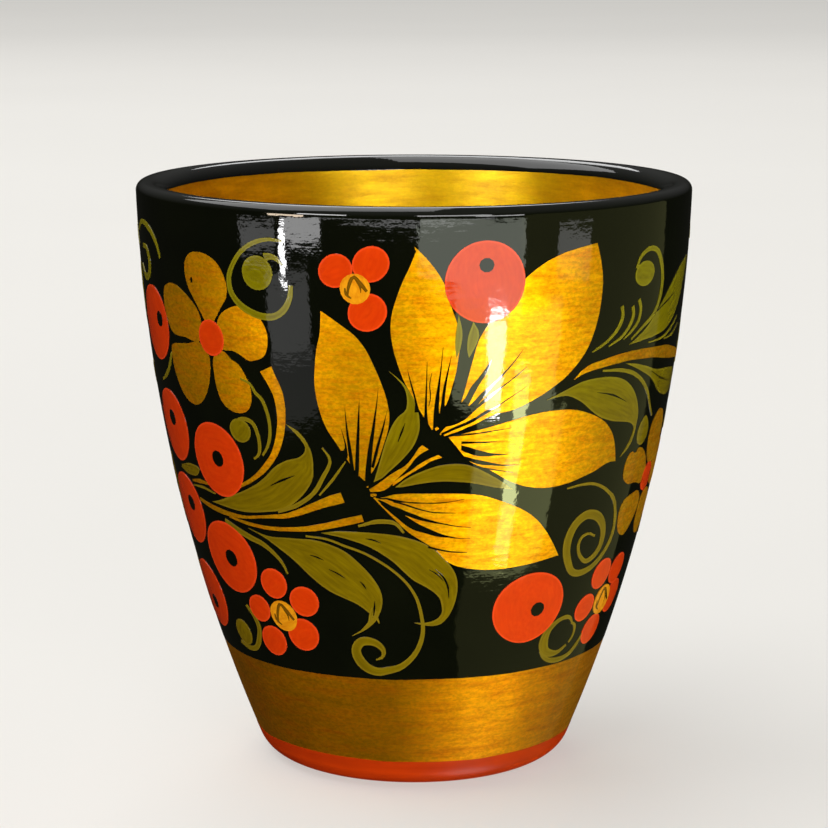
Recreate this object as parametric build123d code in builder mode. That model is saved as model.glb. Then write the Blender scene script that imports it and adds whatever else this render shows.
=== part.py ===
"""Khokhloma beaker: a turned linden-wood cup under a gold ground, lacquer black and painted ornament.

The cup's axis is Z and its base stands on Z = 0. Azimuth 0 faces -Y and grows towards +X.
Places on the painted side are (azimuth in degrees, height in mm).
"""

import os
from math import cos, radians, sin, sqrt

from build123d import *

# Driving dimensions, mm
HEIGHT = 86.5
RIM_RADIUS = 41.0
BOW_RADIUS = 238.2  # the side bows outwards on one long arc
BOW_HEIGHT = 92.7  # height at which that arc would stand upright
WALL = 4.2
FOOT_ROUNDING = 5.0
LIP_OUTER_ROUNDING = 1.25
LIP_INNER_ROUNDING = 2.4
FLOOR_HEIGHT = 7.0
FLOOR_ROUNDING = 8.0
RECESS_RADIUS = 14.0
RECESS_DEPTH = 0.6

# Coats, mm: the whole cup is coated, and the black field lies on the gold ground
COAT = 0.24
FIELD = 0.12
MOTIF = 0.12

# Heights where the painted bands meet, mm
RED_TOP = 4.5
GOLD_BAND_TOP = 18.2
FIELD_TOP = 84.0
LINING_TOP = 84.4

REPEATS = (0, 180)  # the ornament is painted twice round the cup

BOW_CENTRE = RIM_RADIUS - BOW_RADIUS
FOOT_FLAT = BOW_CENTRE + sqrt((BOW_RADIUS - FOOT_ROUNDING) ** 2 - (BOW_HEIGHT - FOOT_ROUNDING) ** 2)
CLEAR = 5.0  # how far a cutting region reaches past the cup
PRISM_START = 20.0  # radius at which a motif's prism starts, inside the wall
PRISM_LENGTH = 30.0


def side_point(height, depth=0.0):
    """Point (radius, height) on the side, or on a surface a given depth under it."""
    radius = BOW_CENTRE + sqrt((BOW_RADIUS - depth) ** 2 - (height - BOW_HEIGHT) ** 2)
    return (radius, height)


def side_arc(low, high, depth=0.0):
    """Three points of the arc that follows the side."""
    return [side_point(height, depth) for height in (low, (low + high) / 2, high)]


def strip(low, high, outer, inner):
    """Half-section between two heights and two depths under the side."""
    with BuildSketch() as section:
        with BuildLine():
            ThreePointArc(*side_arc(low, high, outer))
            Line(side_point(high, outer), side_point(high, inner))
            ThreePointArc(*side_arc(low, high, inner))
            Line(side_point(low, inner), side_point(low, outer))
        make_face()
    return section.sketch


def cup_section(depth=0.0):
    """Half-section of the cup, with every surface drawn in by a depth."""
    base = depth
    ceiling = RECESS_DEPTH + depth
    recess = RECESS_RADIUS + depth
    floor = FLOOR_HEIGHT - depth
    top = HEIGHT - depth
    inside = WALL - depth
    with BuildSketch() as section:
        with BuildLine():
            ThreePointArc(*side_arc(base, top, depth))
            Line(side_point(top, depth), side_point(top, inside))
            ThreePointArc(*side_arc(floor, top, inside))
            Polyline(
                side_point(floor, inside),
                (0, floor),
                (0, ceiling),
                (recess, ceiling),
                (recess, base),
                side_point(base, depth),
            )
        make_face()
        roundings = [
            (side_point(base, depth), FOOT_ROUNDING - depth),
            (side_point(top, depth), LIP_OUTER_ROUNDING - depth),
            (side_point(top, inside), LIP_INNER_ROUNDING - depth),
            (side_point(floor, inside), FLOOR_ROUNDING + depth),
        ]
        for corner, radius in roundings:
            fillet(section.vertices().sort_by_distance(corner)[0], radius)
    return section.sketch


def facing_plane(azimuth):
    """Upright plane inside the wall, seen from outside, with its Y axis along the cup's axis."""
    angle = radians(azimuth)
    outward = Vector(sin(angle), -cos(angle), 0)
    return Plane(origin=outward * PRISM_START, x_dir=(cos(angle), sin(angle), 0), z_dir=outward)


def on_plane(point, middle):
    """A place on the side, as it lies in the plane that faces the azimuth called middle."""
    azimuth, height = point
    return (side_point(height)[0] * sin(radians(azimuth - middle)), height)


def middle_of(points):
    azimuths = [azimuth for azimuth, _ in points]
    return (min(azimuths) + max(azimuths)) / 2


def disc(azimuth, height, radius):
    """Round spot."""
    with BuildSketch() as outline:
        with Locations((0, height)):
            Circle(radius)
    return azimuth, outline.sketch


def petal(*points):
    """Outline that runs smoothly through all its points and closes on itself."""
    middle = middle_of(points)
    with BuildSketch() as outline:
        with BuildLine():
            Spline(*[on_plane(point, middle) for point in points], periodic=True)
        make_face()
    return middle, outline.sketch


def leaf(upper, lower):
    """Outline of two smooth edges that share their first and last points."""
    middle = middle_of(upper + lower)
    with BuildSketch() as outline:
        with BuildLine():
            Spline(*[on_plane(point, middle) for point in upper])
            Spline(*[on_plane(point, middle) for point in lower])
        make_face()
    return middle, outline.sketch


def stroke(widths, *points):
    """Brush stroke along its middle line, with its width at the start, half way and at the end."""
    middle = middle_of(points)
    line = [Vector(*on_plane(point, middle)) for point in points]
    left = []
    right = []
    last = len(line) - 1
    for index, point in enumerate(line):
        along = line[min(index + 1, last)] - line[max(index - 1, 0)]
        across = Vector(-along.Y, along.X).normalized()
        share = 2 * index / last
        width = widths[0] * (1 - share) + widths[1] * share
        if share > 1:
            width = widths[1] * (2 - share) + widths[2] * (share - 1)
        left.append(point + across * width / 2)
        right.append(point - across * width / 2)
    with BuildSketch() as outline:
        with BuildLine():
            Spline(*left)
            Line(left[-1], right[-1])
            Spline(*right)
            Line(right[0], left[0])
        make_face()
    return middle, outline.sketch


def motif(azimuth, outline, film):
    """One painted shape: its outline pushed out through the wall, kept where it meets the film."""
    with BuildPart() as shape:
        with BuildSketch(facing_plane(azimuth)):
            add(outline)
        extrude(amount=PRISM_LENGTH)
        add(film.part, mode=Mode.INTERSECT)
    return shape.part


# Gold leaves: upper edge, lower edge, root first
GOLD_LEAVES = [
    leaf(
        [(-10.5, 48.7), (-17.3, 54.5), (-20.3, 61), (-20, 66), (-18.3, 72.3)],
        [(-10.5, 48.7), (-6.2, 53.5), (-5.2, 59.5), (-9.5, 67), (-18.3, 72.3)],
    ),
    leaf(
        [(3.5, 56.2), (-2.3, 63), (-4.5, 70), (-3, 76), (0.3, 81)],
        [(3.5, 56.2), (7.5, 61.5), (8.7, 69), (6, 76), (0.3, 81)],
    ),
    leaf(
        [(5.5, 55.4), (12, 66), (19, 74), (27, 79), (37.8, 80.8)],
        [(5.5, 55.4), (19, 58.4), (30, 61), (38.8, 68.5), (37.8, 80.8)],
    ),
    leaf(
        [(7, 54.9), (20, 57.4), (33, 57.6), (43, 54.8), (50.5, 48.8)],
        [(7, 54.9), (16, 50), (25, 47), (36, 47), (50.5, 48.8)],
    ),
    leaf(
        [(-9, 46.5), (5, 46.8), (19, 45.5), (29, 41.5), (36.5, 36)],
        [(-9, 46.5), (-1, 41.5), (8, 36.8), (20, 35), (36.5, 36)],
    ),
]

GOLD_STEMS = [
    stroke((0.9, 0.9, 1.6), (-9.5, 47), (-4.5, 49.5), (-1, 51.3), (2.2, 53.5)),
    stroke((0.8, 1, 1.6), (-59, 41.9), (-48, 40.9), (-34, 41.9), (-22, 44.8), (-15.8, 46)),
    stroke((0.8, 0.8, 1.4), (-29, 40.2), (-22, 41.2), (-16.5, 42.2), (-11.5, 43.1)),
    stroke((0.7, 1.6, 2.6), (-45, 45), (-38, 47), (-31, 51.5), (-28.3, 58), (-31.2, 63.6)),
    stroke((0.4, 1.3, 1.2), (34.5, 61.8), (45, 64.5), (60, 64.3), (75, 62.8)),
]

GOLD_PETALS = [
    petal((-47, 79), (-43, 78), (-39.7, 74.6), (-42.2, 71), (-45.2, 69.6), (-48.3, 70.6), (-51.6, 74), (-51, 78)),
    petal((-42.3, 70.7), (-36, 72.3), (-31.6, 70.8), (-30.2, 68), (-32, 65.2), (-35.5, 64.5), (-42, 65.8)),
    petal((-42.4, 65.4), (-39, 64.2), (-35.5, 60.8), (-37, 57.6), (-40.5, 56.7), (-44, 58.3), (-45.5, 61.5)),
    petal((-48, 65.6), (-46.6, 64), (-48, 60.5), (-51, 57.4), (-55.5, 56.8), (-60, 60), (-61, 64.6)),
    petal((-48.6, 66.4), (-48.8, 70), (-53, 73.2), (-58, 73.5), (-62, 70.2), (-60, 66.6), (-54, 66.3)),
    petal((66.5, 46.2), (63, 48.5), (57.5, 49.7), (54.9, 47.4), (57.5, 44.6), (66, 43.8)),
    petal((67, 42.4), (61.5, 42.6), (57.2, 40.4), (59, 36.9), (63.5, 36.3), (68, 39)),
    petal((67.5, 46.8), (64.8, 50), (65.5, 53.3), (70, 53.8), (74, 51), (72.5, 47)),
    petal((73, 46), (77, 49), (81, 47.5), (81.5, 43.5), (77.5, 41.8), (73, 43.2)),
    petal((69, 41.9), (69.5, 38.5), (73, 36.2), (77.5, 37.5), (76.5, 40.8), (72.5, 42.2)),
]
FLOWER_HEARTS = [disc(-45.2, 67.4, 2.6), disc(69.8, 44.4, 2.2)]

BERRIES = [
    (-69.5, 67.3, 5.4),
    (-68.5, 53.2, 5.2),
    (-69.5, 39.6, 5.2),
    (-70, 26.2, 5.0),
    (-48.7, 49.2, 5.4),
    (-51, 34.2, 5.4),
    (30, 28.6, 5.5),
    (13.8, 76.3, 5.5),
]
EYES = [
    (-66, 68),
    (-67, 53.5),
    (-66.5, 40.6),
    (-69.5, 25.2),
    (-48.3, 49.3),
    (-50.8, 34),
    (33, 28),
    (13.8, 78.8),
]
EYE_RADIUS = 1.15

RED_PETALS = [
    (-15.2, 77.9, 2.35),
    (-8.2, 79, 2.5),
    (-9, 72.2, 2.6),
    (-37, 31.6, 2.4),
    (-28.6, 29.5, 2.3),
    (-44, 27, 2.4),
    (-30, 24.1, 2.3),
    (-41.5, 22.4, 2.4),
    (55.3, 31.3, 2.4),
    (64, 31, 2.4),
    (51, 26.6, 2.2),
    (57.7, 22.4, 2.4),
    (66, 26.5, 2.6),
]
STAMPS = [(-11.3, 75.5, 2.05), (-35.8, 26.7, 2.3), (59.7, 26.7, 2.3)]

GREEN_LEAVES = [
    leaf(
        [(-8.5, 48.5), (-6, 52.5), (-4.2, 56.6), (-2.5, 60.8), (-5, 64.3)],
        [(-8.5, 48.5), (-4, 51), (0.6, 56), (0, 60.5), (-5, 64.3)],
    ),
    leaf(
        [(-54, 42.4), (-42, 44.8), (-33, 49), (-28, 50.9), (-23, 53)],
        [(-54, 42.4), (-40, 42.1), (-29, 44), (-22.4, 49.4), (-23, 53)],
    ),
    leaf(
        [(-42, 39.4), (-24, 39), (-12, 36), (-8, 30.5), (-12, 25.4)],
        [(-42, 39.4), (-30, 35.9), (-19, 31), (-12, 29), (-12, 25.4)],
    ),
    leaf(
        [(-22, 40.5), (-5, 40.4), (5, 37.5), (10.2, 31), (5, 26.8)],
        [(-22, 40.5), (-8, 38), (0, 33.4), (6.2, 30.2), (5, 26.8)],
    ),
    leaf([(-5, 47.6), (1, 50.1), (9, 51), (21, 47.4)], [(-5, 47.6), (3, 48.4), (11, 48.1), (21, 47.4)]),
    leaf(
        [(50, 65.9), (60, 71.2), (70, 75.3), (76.5, 73)],
        [(50, 65.9), (62, 67), (71, 69.3), (76.5, 73)],
    ),
    leaf(
        [(28, 59.4), (37, 61.5), (47, 61.2), (55, 57.8), (56.6, 52.6)],
        [(28, 59.4), (38, 57.8), (46, 55.2), (53, 54.3), (56.6, 52.6)],
    ),
    petal((52, 62.8), (61, 61.6), (70, 60.7), (77, 59.6), (79.5, 58), (76, 56.6), (68, 57), (60, 60)),
    petal((61.5, 54.2), (58.2, 53), (58.6, 50.8), (61.5, 50), (63.4, 52)),
    leaf([(82, 60), (88, 66.5), (93, 71.5), (99, 75)], [(82, 60), (91, 63.5), (98, 68.5), (99, 75)]),
    leaf([(83, 34), (89, 38.5), (95, 41), (102, 47)], [(83, 34), (92, 34.3), (100, 38.5), (102, 47)]),
]

GREEN_CURLS = [
    stroke(
        (0.5, 1, 1.1), (-27.4, 81.4), (-33, 81.3), (-38, 78), (-38.4, 74.6), (-34, 71.7), (-28, 71.3), (-24.3, 74)
    ),
    disc(-31.8, 77, 2.5),
    stroke((0.5, 0.9, 0.5), (-35.6, 61.7), (-33, 59.8), (-31.8, 56.5), (-32.3, 53.6), (-34, 51)),
    disc(-39.8, 54.2, 1.7),
    stroke((0.4, 0.9, 0.5), (-38.5, 56), (-36, 55), (-35, 52.8), (-36.5, 50.4)),
    disc(-54.5, 22.6, 1.8),
    stroke((0.5, 0.8, 0.5), (-56.5, 20.6), (-52, 20.2), (-47.4, 22.2), (-47.4, 25.4), (-50, 27.3)),
    stroke((0.4, 1, 1.4), (0.8, 30), (2.3, 27), (0, 22.2), (-6, 19.5), (-12, 19.8), (-15.7, 22)),
    disc(53.2, 76, 2.1),
    stroke((0.8, 1, 0.5), (54, 78.4), (58.2, 77.6), (60.2, 74), (58, 69.6), (51, 66.9)),
    stroke(
        (0.5, 1, 1.1), (37, 45.9), (46, 46.1), (53.5, 42.5), (55.5, 38), (52, 33.8), (46, 32.6), (40.6, 34.4)
    ),
    stroke(
        (1.1, 1.2, 0.7), (39.6, 38.6), (44.5, 41.4), (50, 40), (51.6, 36.8), (48, 34.5), (43.6, 35.4), (43.4, 38)
    ),
    stroke((0.9, 0.9, 0.9), (37.4, 22), (39.5, 25), (44, 25.7), (48, 23.6), (47, 21), (43, 20.2)),
    stroke((0.6, 0.8, 0.7), (39, 20.6), (43, 19), (48, 19.1), (52.5, 20.8)),
    stroke((0.5, 0.9, 0.6), (86, 78), (91, 80.2), (97, 78.5), (97.5, 74)),
    stroke((0.5, 0.9, 0.6), (84.5, 24), (90, 21), (96, 22.5), (97.5, 27), (93, 30)),
    disc(92.5, 26.2, 1.8),
    stroke((0.5, 0.9, 0.6), (83.5, 50), (88, 54.5), (94, 56.5), (99.5, 60.5)),
]

FILM_REACH = (GOLD_BAND_TOP, FIELD_TOP)
WHOLE_COAT = cup_section() - cup_section(COAT)

with BuildPart() as motif_film:
    with BuildSketch(Plane.XZ):
        add(strip(*FILM_REACH, -MOTIF, 0))
    revolve(axis=Axis.Z)

with BuildPart() as accent_film:
    with BuildSketch(Plane.XZ):
        add(strip(*FILM_REACH, -2 * MOTIF, -MOTIF))
    revolve(axis=Axis.Z)

# ---------------------------------------------------------------- wood and coats

with BuildPart() as turned_body:
    with BuildSketch(Plane.XZ):
        add(cup_section(COAT))
    revolve(axis=Axis.Z)

with BuildPart() as gold_ground:
    with BuildSketch(Plane.XZ):
        add(WHOLE_COAT)
        add(strip(RED_TOP, FIELD_TOP, -CLEAR, WALL / 2), mode=Mode.INTERSECT)
        add(strip(GOLD_BAND_TOP, FIELD_TOP, -CLEAR, FIELD), mode=Mode.SUBTRACT)
    revolve(axis=Axis.Z)

with BuildPart() as black_field:
    with BuildSketch(Plane.XZ):
        add(strip(GOLD_BAND_TOP, FIELD_TOP, 0, FIELD))
    revolve(axis=Axis.Z)

with BuildPart() as rim_band:
    with BuildSketch(Plane.XZ):
        add(WHOLE_COAT)
        with BuildLine():
            Polyline(
                side_point(FIELD_TOP, -CLEAR),
                (RIM_RADIUS + CLEAR, HEIGHT + CLEAR),
                (0, HEIGHT + CLEAR),
                (0, LINING_TOP),
                side_point(LINING_TOP, WALL / 2),
                side_point(FIELD_TOP, WALL / 2),
                close=True,
            )
        make_face(mode=Mode.INTERSECT)
    revolve(axis=Axis.Z)

with BuildPart() as gold_lining:
    with BuildSketch(Plane.XZ):
        add(WHOLE_COAT)
        with BuildLine():
            ThreePointArc(*side_arc(FLOOR_HEIGHT / 2, LINING_TOP, WALL / 2))
            Polyline(
                side_point(LINING_TOP, WALL / 2),
                (0, LINING_TOP),
                (0, FLOOR_HEIGHT / 2),
                side_point(FLOOR_HEIGHT / 2, WALL / 2),
            )
        make_face(mode=Mode.INTERSECT)
    revolve(axis=Axis.Z)

with BuildPart() as red_foot_band:
    with BuildSketch(Plane.XZ):
        add(WHOLE_COAT)
        with Locations((FOOT_FLAT, 0)):
            Rectangle(RIM_RADIUS, RED_TOP, align=(Align.MIN, Align.MIN), mode=Mode.INTERSECT)
    revolve(axis=Axis.Z)

with BuildPart() as underside_coat:
    with BuildSketch(Plane.XZ):
        add(WHOLE_COAT)
        Rectangle(FOOT_FLAT, FLOOR_HEIGHT / 2, align=(Align.MIN, Align.MIN), mode=Mode.INTERSECT)
    revolve(axis=Axis.Z)

# ---------------------------------------------------------------- ornament, first coat

with BuildPart() as red_berries:
    for turn in REPEATS:
        for azimuth, height, radius in BERRIES:
            middle, outline = disc(azimuth, height, radius)
            add(motif(middle + turn, outline, motif_film))

with BuildPart() as red_petals:
    for turn in REPEATS:
        for azimuth, height, radius in RED_PETALS:
            middle, outline = disc(azimuth, height, radius)
            add(motif(middle + turn, outline, motif_film))

with BuildPart() as gold_petals:
    for turn in REPEATS:
        for middle, outline in GOLD_PETALS:
            add(motif(middle + turn, outline, motif_film))

with BuildPart() as gold_leaves:
    for turn in REPEATS:
        for middle, outline in GOLD_LEAVES:
            add(motif(middle + turn, outline, motif_film))
    add(red_berries.part, mode=Mode.SUBTRACT)

with BuildPart() as gold_stems:
    for turn in REPEATS:
        for middle, outline in GOLD_STEMS:
            add(motif(middle + turn, outline, motif_film))
    for colour in (red_berries, gold_leaves, gold_petals):
        add(colour.part, mode=Mode.SUBTRACT)

with BuildPart() as green_leaves:
    for turn in REPEATS:
        for middle, outline in GREEN_LEAVES:
            add(motif(middle + turn, outline, motif_film))
    for colour in (red_berries, gold_leaves, gold_petals, gold_stems):
        add(colour.part, mode=Mode.SUBTRACT)

with BuildPart() as green_curls:
    for turn in REPEATS:
        for middle, outline in GREEN_CURLS:
            add(motif(middle + turn, outline, motif_film))
    for colour in (red_berries, red_petals, gold_leaves, gold_petals, gold_stems, green_leaves):
        add(colour.part, mode=Mode.SUBTRACT)

# ---------------------------------------------------------------- ornament, accents on top

with BuildPart() as berry_eyes:
    for turn in REPEATS:
        for azimuth, height in EYES:
            middle, outline = disc(azimuth, height, EYE_RADIUS)
            add(motif(middle + turn, outline, accent_film))

with BuildPart() as flower_hearts:
    for turn in REPEATS:
        for middle, outline in FLOWER_HEARTS:
            add(motif(middle + turn, outline, accent_film))

with BuildPart() as amber_stamps:
    for turn in REPEATS:
        for azimuth, height, radius in STAMPS:
            middle, outline = disc(azimuth, height, radius)
            add(motif(middle + turn, outline, accent_film))

# ---------------------------------------------------------------- files

PIECES = {
    "turned_body": turned_body,
    "gold_ground": gold_ground,
    "gold_lining": gold_lining,
    "black_field": black_field,
    "rim_band": rim_band,
    "red_foot_band": red_foot_band,
    "underside_coat": underside_coat,
    "gold_leaves": gold_leaves,
    "gold_stems": gold_stems,
    "gold_petals": gold_petals,
    "flower_hearts": flower_hearts,
    "red_berries": red_berries,
    "berry_eyes": berry_eyes,
    "red_petals": red_petals,
    "amber_stamps": amber_stamps,
    "green_leaves": green_leaves,
    "green_curls": green_curls,
}

os.makedirs("parts", exist_ok=True)
for name, piece in PIECES.items():
    piece.part.label = name
    export_step(piece.part, f"parts/{name}.step")
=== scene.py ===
"""Khokhloma beaker: turned cup with black lacquer, gold ground and painted ornament.

Places on the side are (azimuth in degrees, height in mm): azimuth 0 faces -Y and grows towards +X.
"""

import math
import random

import bmesh
import bpy
import numpy as np
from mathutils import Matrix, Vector


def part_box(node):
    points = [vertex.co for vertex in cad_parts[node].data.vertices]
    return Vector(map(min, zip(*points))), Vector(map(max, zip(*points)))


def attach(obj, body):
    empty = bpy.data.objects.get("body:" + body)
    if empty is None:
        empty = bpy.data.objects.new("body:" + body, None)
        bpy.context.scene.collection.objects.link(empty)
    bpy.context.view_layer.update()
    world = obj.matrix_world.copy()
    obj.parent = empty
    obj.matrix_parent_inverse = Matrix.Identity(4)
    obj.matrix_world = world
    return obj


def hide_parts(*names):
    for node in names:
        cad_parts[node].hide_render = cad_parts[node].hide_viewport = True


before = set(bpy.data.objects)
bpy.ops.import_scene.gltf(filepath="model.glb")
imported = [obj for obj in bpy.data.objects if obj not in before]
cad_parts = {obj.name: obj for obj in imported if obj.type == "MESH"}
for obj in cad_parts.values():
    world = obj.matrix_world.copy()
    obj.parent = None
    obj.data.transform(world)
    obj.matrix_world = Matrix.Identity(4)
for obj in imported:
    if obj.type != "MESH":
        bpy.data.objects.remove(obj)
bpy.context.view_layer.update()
scene = bpy.context.scene

# ---------------------------------------------------------------- the cup's measures, mm

MM = 0.001


def node_height(node, end):
    """Height of a node's lowest (end 0) or highest (end 1) point."""
    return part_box(node)[end].z / MM


HEIGHT = node_height("rim_band", 1)
FIELD_TOP = node_height("black_field", 1)
GOLD_BAND_TOP = node_height("black_field", 0)
RED_TOP = node_height("red_foot_band", 1)
LINING_TOP = node_height("gold_lining", 1)
RIM_RADIUS = 41.0
BOW_RADIUS = 238.2  # the side bows outwards on one long arc
BOW_HEIGHT = 92.7  # height at which that arc would stand upright
BOW_CENTRE = RIM_RADIUS - BOW_RADIUS
WALL = 4.2
FOOT_ROUNDING = 5.0
LIP_OUTER_ROUNDING = 1.25
LIP_INNER_ROUNDING = 2.4
FLOOR_HEIGHT = 7.0
FLOOR_ROUNDING = 8.0
RECESS_RADIUS = 14.0
RECESS_DEPTH = 0.6
RECESS_EDGE = 0.5  # rounding at the top of the recess's wall
RECESS_LIP = 0.3  # rounding between that wall and the foot
COAT = 0.24
GROUND_DEPTH = 0.03  # the bare ground lies this much under the paints
HIDDEN_EDGE = 0.8  # how far the ground runs on under a paint's edge
HIDDEN_LINING = 15  # the same for the lining, in degrees of the lip's rounding
TURNS = 360  # segments of the turned coats


def side_radius(height, depth=0.0):
    return BOW_CENTRE + np.sqrt((BOW_RADIUS - depth) ** 2 - (np.asarray(height) - BOW_HEIGHT) ** 2)


def on_side(azimuth, height, lift):
    """Points (metres) on the side, raised along its normal, and the normals."""
    azimuth = np.radians(azimuth)
    radius = side_radius(height)
    out = (radius - BOW_CENTRE) / BOW_RADIUS
    up = (height - BOW_HEIGHT) / BOW_RADIUS
    sines = np.sin(azimuth)
    cosines = np.cos(azimuth)
    normals = np.stack([out * sines, -out * cosines, up], axis=-1)
    bare = np.stack([radius * sines, -radius * cosines, height], axis=-1)
    return (bare + normals * np.asarray(lift)[..., None]) * MM, normals


def degree_length(height):
    """Length of one degree of azimuth on the side, mm."""
    return side_radius(height) * math.pi / 180


# ---------------------------------------------------------------- materials

LACQUER_IOR = 1.5
TINT_FULL = 0.048  # height in metres up to which a low tint is full
TINT_GONE = 0.072  # height from which there is none


class Nodes:
    """A material's node tree, with its Principled shader."""

    def __init__(self, name):
        self.material = bpy.data.materials.new(name)
        self.material.use_nodes = True
        self.tree = self.material.node_tree
        self.shader = self.tree.nodes["Principled BSDF"]
        self.place = self.add("ShaderNodeTexCoord").outputs["Object"]

    def add(self, kind, **settings):
        made = self.tree.nodes.new(kind)
        for key, value in settings.items():
            setattr(made, key, value)
        return made

    def feed(self, socket, value):
        """Sets a socket to a constant, or links it to another node's output."""
        if isinstance(value, (int, float, tuple)):
            socket.default_value = value
        else:
            self.tree.links.new(value, socket)

    def set(self, **values):
        """Feeds the shader's own sockets."""
        for key, value in values.items():
            self.feed(self.shader.inputs[key.replace("_", " ")], value)

    def noise(self, scale, stretch=(1, 1, 1), detail=3.0, roughness=0.55, seed=0.0, place=None):
        """Noise with features of about 1/scale, drawn out along an axis by a small stretch."""
        mapping = self.add("ShaderNodeMapping")
        self.feed(mapping.inputs["Scale"], stretch)
        self.feed(mapping.inputs["Location"], (seed, seed * 0.7, seed * 0.3))
        self.feed(mapping.inputs["Vector"], self.place if place is None else place)
        noise = self.add("ShaderNodeTexNoise")
        self.feed(noise.inputs["Scale"], scale)
        self.feed(noise.inputs["Detail"], detail)
        self.feed(noise.inputs["Roughness"], roughness)
        self.feed(noise.inputs["Vector"], mapping.outputs["Vector"])
        return noise.outputs["Fac"]

    def ramp(self, value, *stops):
        """Colour ramp: each stop is (position, colour or grey)."""
        ramp = self.add("ShaderNodeValToRGB")
        for element, (position, colour) in zip(ramp.color_ramp.elements, stops):
            element.position = position
            element.color = colour if isinstance(colour, tuple) else (colour, colour, colour, 1)
        self.feed(ramp.inputs["Fac"], value)
        return ramp.outputs["Color"]

    def mix(self, blend, fac, a, b):
        node = self.add("ShaderNodeMix", data_type="RGBA", blend_type=blend)
        for socket, value in zip((0, 6, 7), (fac, a, b)):
            self.feed(node.inputs[socket], value)
        return node.outputs[2]

    def shaded(self, colour, shade):
        return self.mix("MULTIPLY", 1.0, colour, shade)

    def math(self, operation, a, b):
        node = self.add("ShaderNodeMath", operation=operation)
        self.feed(node.inputs[0], a)
        self.feed(node.inputs[1], b)
        return node.outputs[0]

    def last_of(self, vector):
        """A vector's third number."""
        node = self.add("ShaderNodeSeparateXYZ")
        self.feed(node.inputs[0], vector)
        return node.outputs["Z"]

    def bump(self, *layers):
        """A normal from layers of (height value, height in mm)."""
        normal = None
        for value, height in layers:
            bump = self.add("ShaderNodeBump")
            self.feed(bump.inputs["Strength"], 1.0)
            self.feed(bump.inputs["Distance"], height * MM)
            self.feed(bump.inputs["Height"], value)
            if normal is not None:
                self.feed(bump.inputs["Normal"], normal)
            normal = bump.outputs["Normal"]
        return normal


def srgb(red, green, blue):
    """Linear colour from 8-bit display values."""
    channels = [(value / 255 + 0.055) / 1.055 for value in (red, green, blue)]
    return tuple(value ** 2.4 for value in channels) + (1.0,)


def lacquer(nodes, normal, roughness, weight=1.0):
    """The clear kiln-hardened lacquer over every paint; it has the only gloss."""
    nodes.set(Coat_Weight=weight, Coat_Roughness=roughness, Coat_IOR=LACQUER_IOR, Coat_Normal=normal)
    nodes.set(IOR=LACQUER_IOR, Specular_IOR_Level=0.0)


def turning_bumps(nodes):
    """Broad waves, orange peel and the lathe's ridges, as layers for a bump."""
    waves = nodes.noise(90, stretch=(1, 1, 0.8), detail=2, seed=7.7)
    peel = nodes.noise(520, detail=3, seed=8.3)
    ridges = nodes.noise(900, stretch=(0.05, 0.05, 1), detail=4, seed=3.1)
    return (waves, 0.045), (peel, 0.02), (ridges, 0.008)


def black_lacquer():
    nodes = Nodes("black_lacquer")
    cloud = nodes.noise(60, detail=4, seed=1.3)
    colour = nodes.ramp(cloud, (0.3, srgb(5, 7, 1)), (0.7, srgb(11, 13, 4)))
    normal = nodes.bump(*turning_bumps(nodes))
    nodes.set(Base_Color=colour, Roughness=0.4, Normal=normal)
    lacquer(nodes, normal, 0.035)
    return nodes.material


def gold(name, dark, light, grain, height, mottle, roughness=0.52, gloss=0.05):
    """Tinned ground turned gold in the kiln.

    The grain has that many features to a metre and a height in mm; mottle is how light the darkest of the still
    finer flecks is, and gloss is the roughness of the lacquer.
    """
    nodes = Nodes(name)
    speckle = nodes.noise(grain, stretch=(0.16, 0.16, 1), detail=4, roughness=0.7, seed=2.2)
    patches = nodes.noise(160, detail=3, seed=5.5)
    flecks = nodes.noise(2400, stretch=(0.65, 0.65, 1), detail=3, roughness=0.6, seed=3.9)
    colour = nodes.ramp(speckle, (0.3, dark), (0.62, light))
    colour = nodes.shaded(colour, nodes.ramp(patches, (0.25, 0.78), (0.7, 1.0)))
    colour = nodes.shaded(colour, nodes.ramp(flecks, (0.38, mottle), (0.6, 1.0)))
    dullness = nodes.ramp(speckle, (0.3, roughness + 0.1), (0.7, roughness - 0.05))
    turning = turning_bumps(nodes)
    normal = nodes.bump((flecks, 0.012), (speckle, height), *turning)
    nodes.set(Base_Color=colour, Roughness=dullness, Metallic=0.96, Normal=normal)
    lacquer(nodes, nodes.bump(*turning), gloss, 0.3)
    return nodes.material


def paint(name, dark, light, rim=0.0, low_tint=None):
    """Oil paint laid with a soft brush: faint streaks along the stroke, and paint gathered at its edge.

    The rim is how much paint has gathered there. The low tint multiplies the colour on the lower part of the
    cup, fully up to TINT_FULL and fading out by TINT_GONE: darker and less green towards the foot.
    """
    nodes = Nodes(name)
    stroke = nodes.add("ShaderNodeAttribute", attribute_name="stroke").outputs["Vector"]
    streaks = nodes.noise(1.4, stretch=(0.16, 1.3, 1), detail=5, roughness=0.5, place=stroke)
    cloud = nodes.noise(420, detail=3, seed=4.4)
    colour = nodes.ramp(streaks, (0.22, dark), (0.72, light))
    colour = nodes.shaded(colour, nodes.ramp(cloud, (0.25, 0.88), (0.7, 1.0)))
    ragged = nodes.math("MULTIPLY", nodes.noise(1800, seed=6.6), 0.25)
    from_edge = nodes.math("ADD", nodes.last_of(stroke), ragged)
    thick = tuple(min(1.0, channel * 1.25 + 0.012) for channel in light[:3]) + (1.0,)
    colour = nodes.mix("MIX", nodes.ramp(from_edge, (0.28, rim), (0.46, 0.0)), colour, thick)
    if low_tint is not None:
        tint = nodes.ramp(nodes.last_of(nodes.place), (TINT_FULL, low_tint), (TINT_GONE, 1.0))
        colour = nodes.shaded(colour, tint)
    normal = nodes.bump((streaks, 0.008), *turning_bumps(nodes))
    nodes.set(Base_Color=colour, Roughness=nodes.ramp(streaks, (0.3, 0.5), (0.7, 0.37)), Normal=normal)
    lacquer(nodes, normal, 0.06)
    return nodes.material


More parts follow.
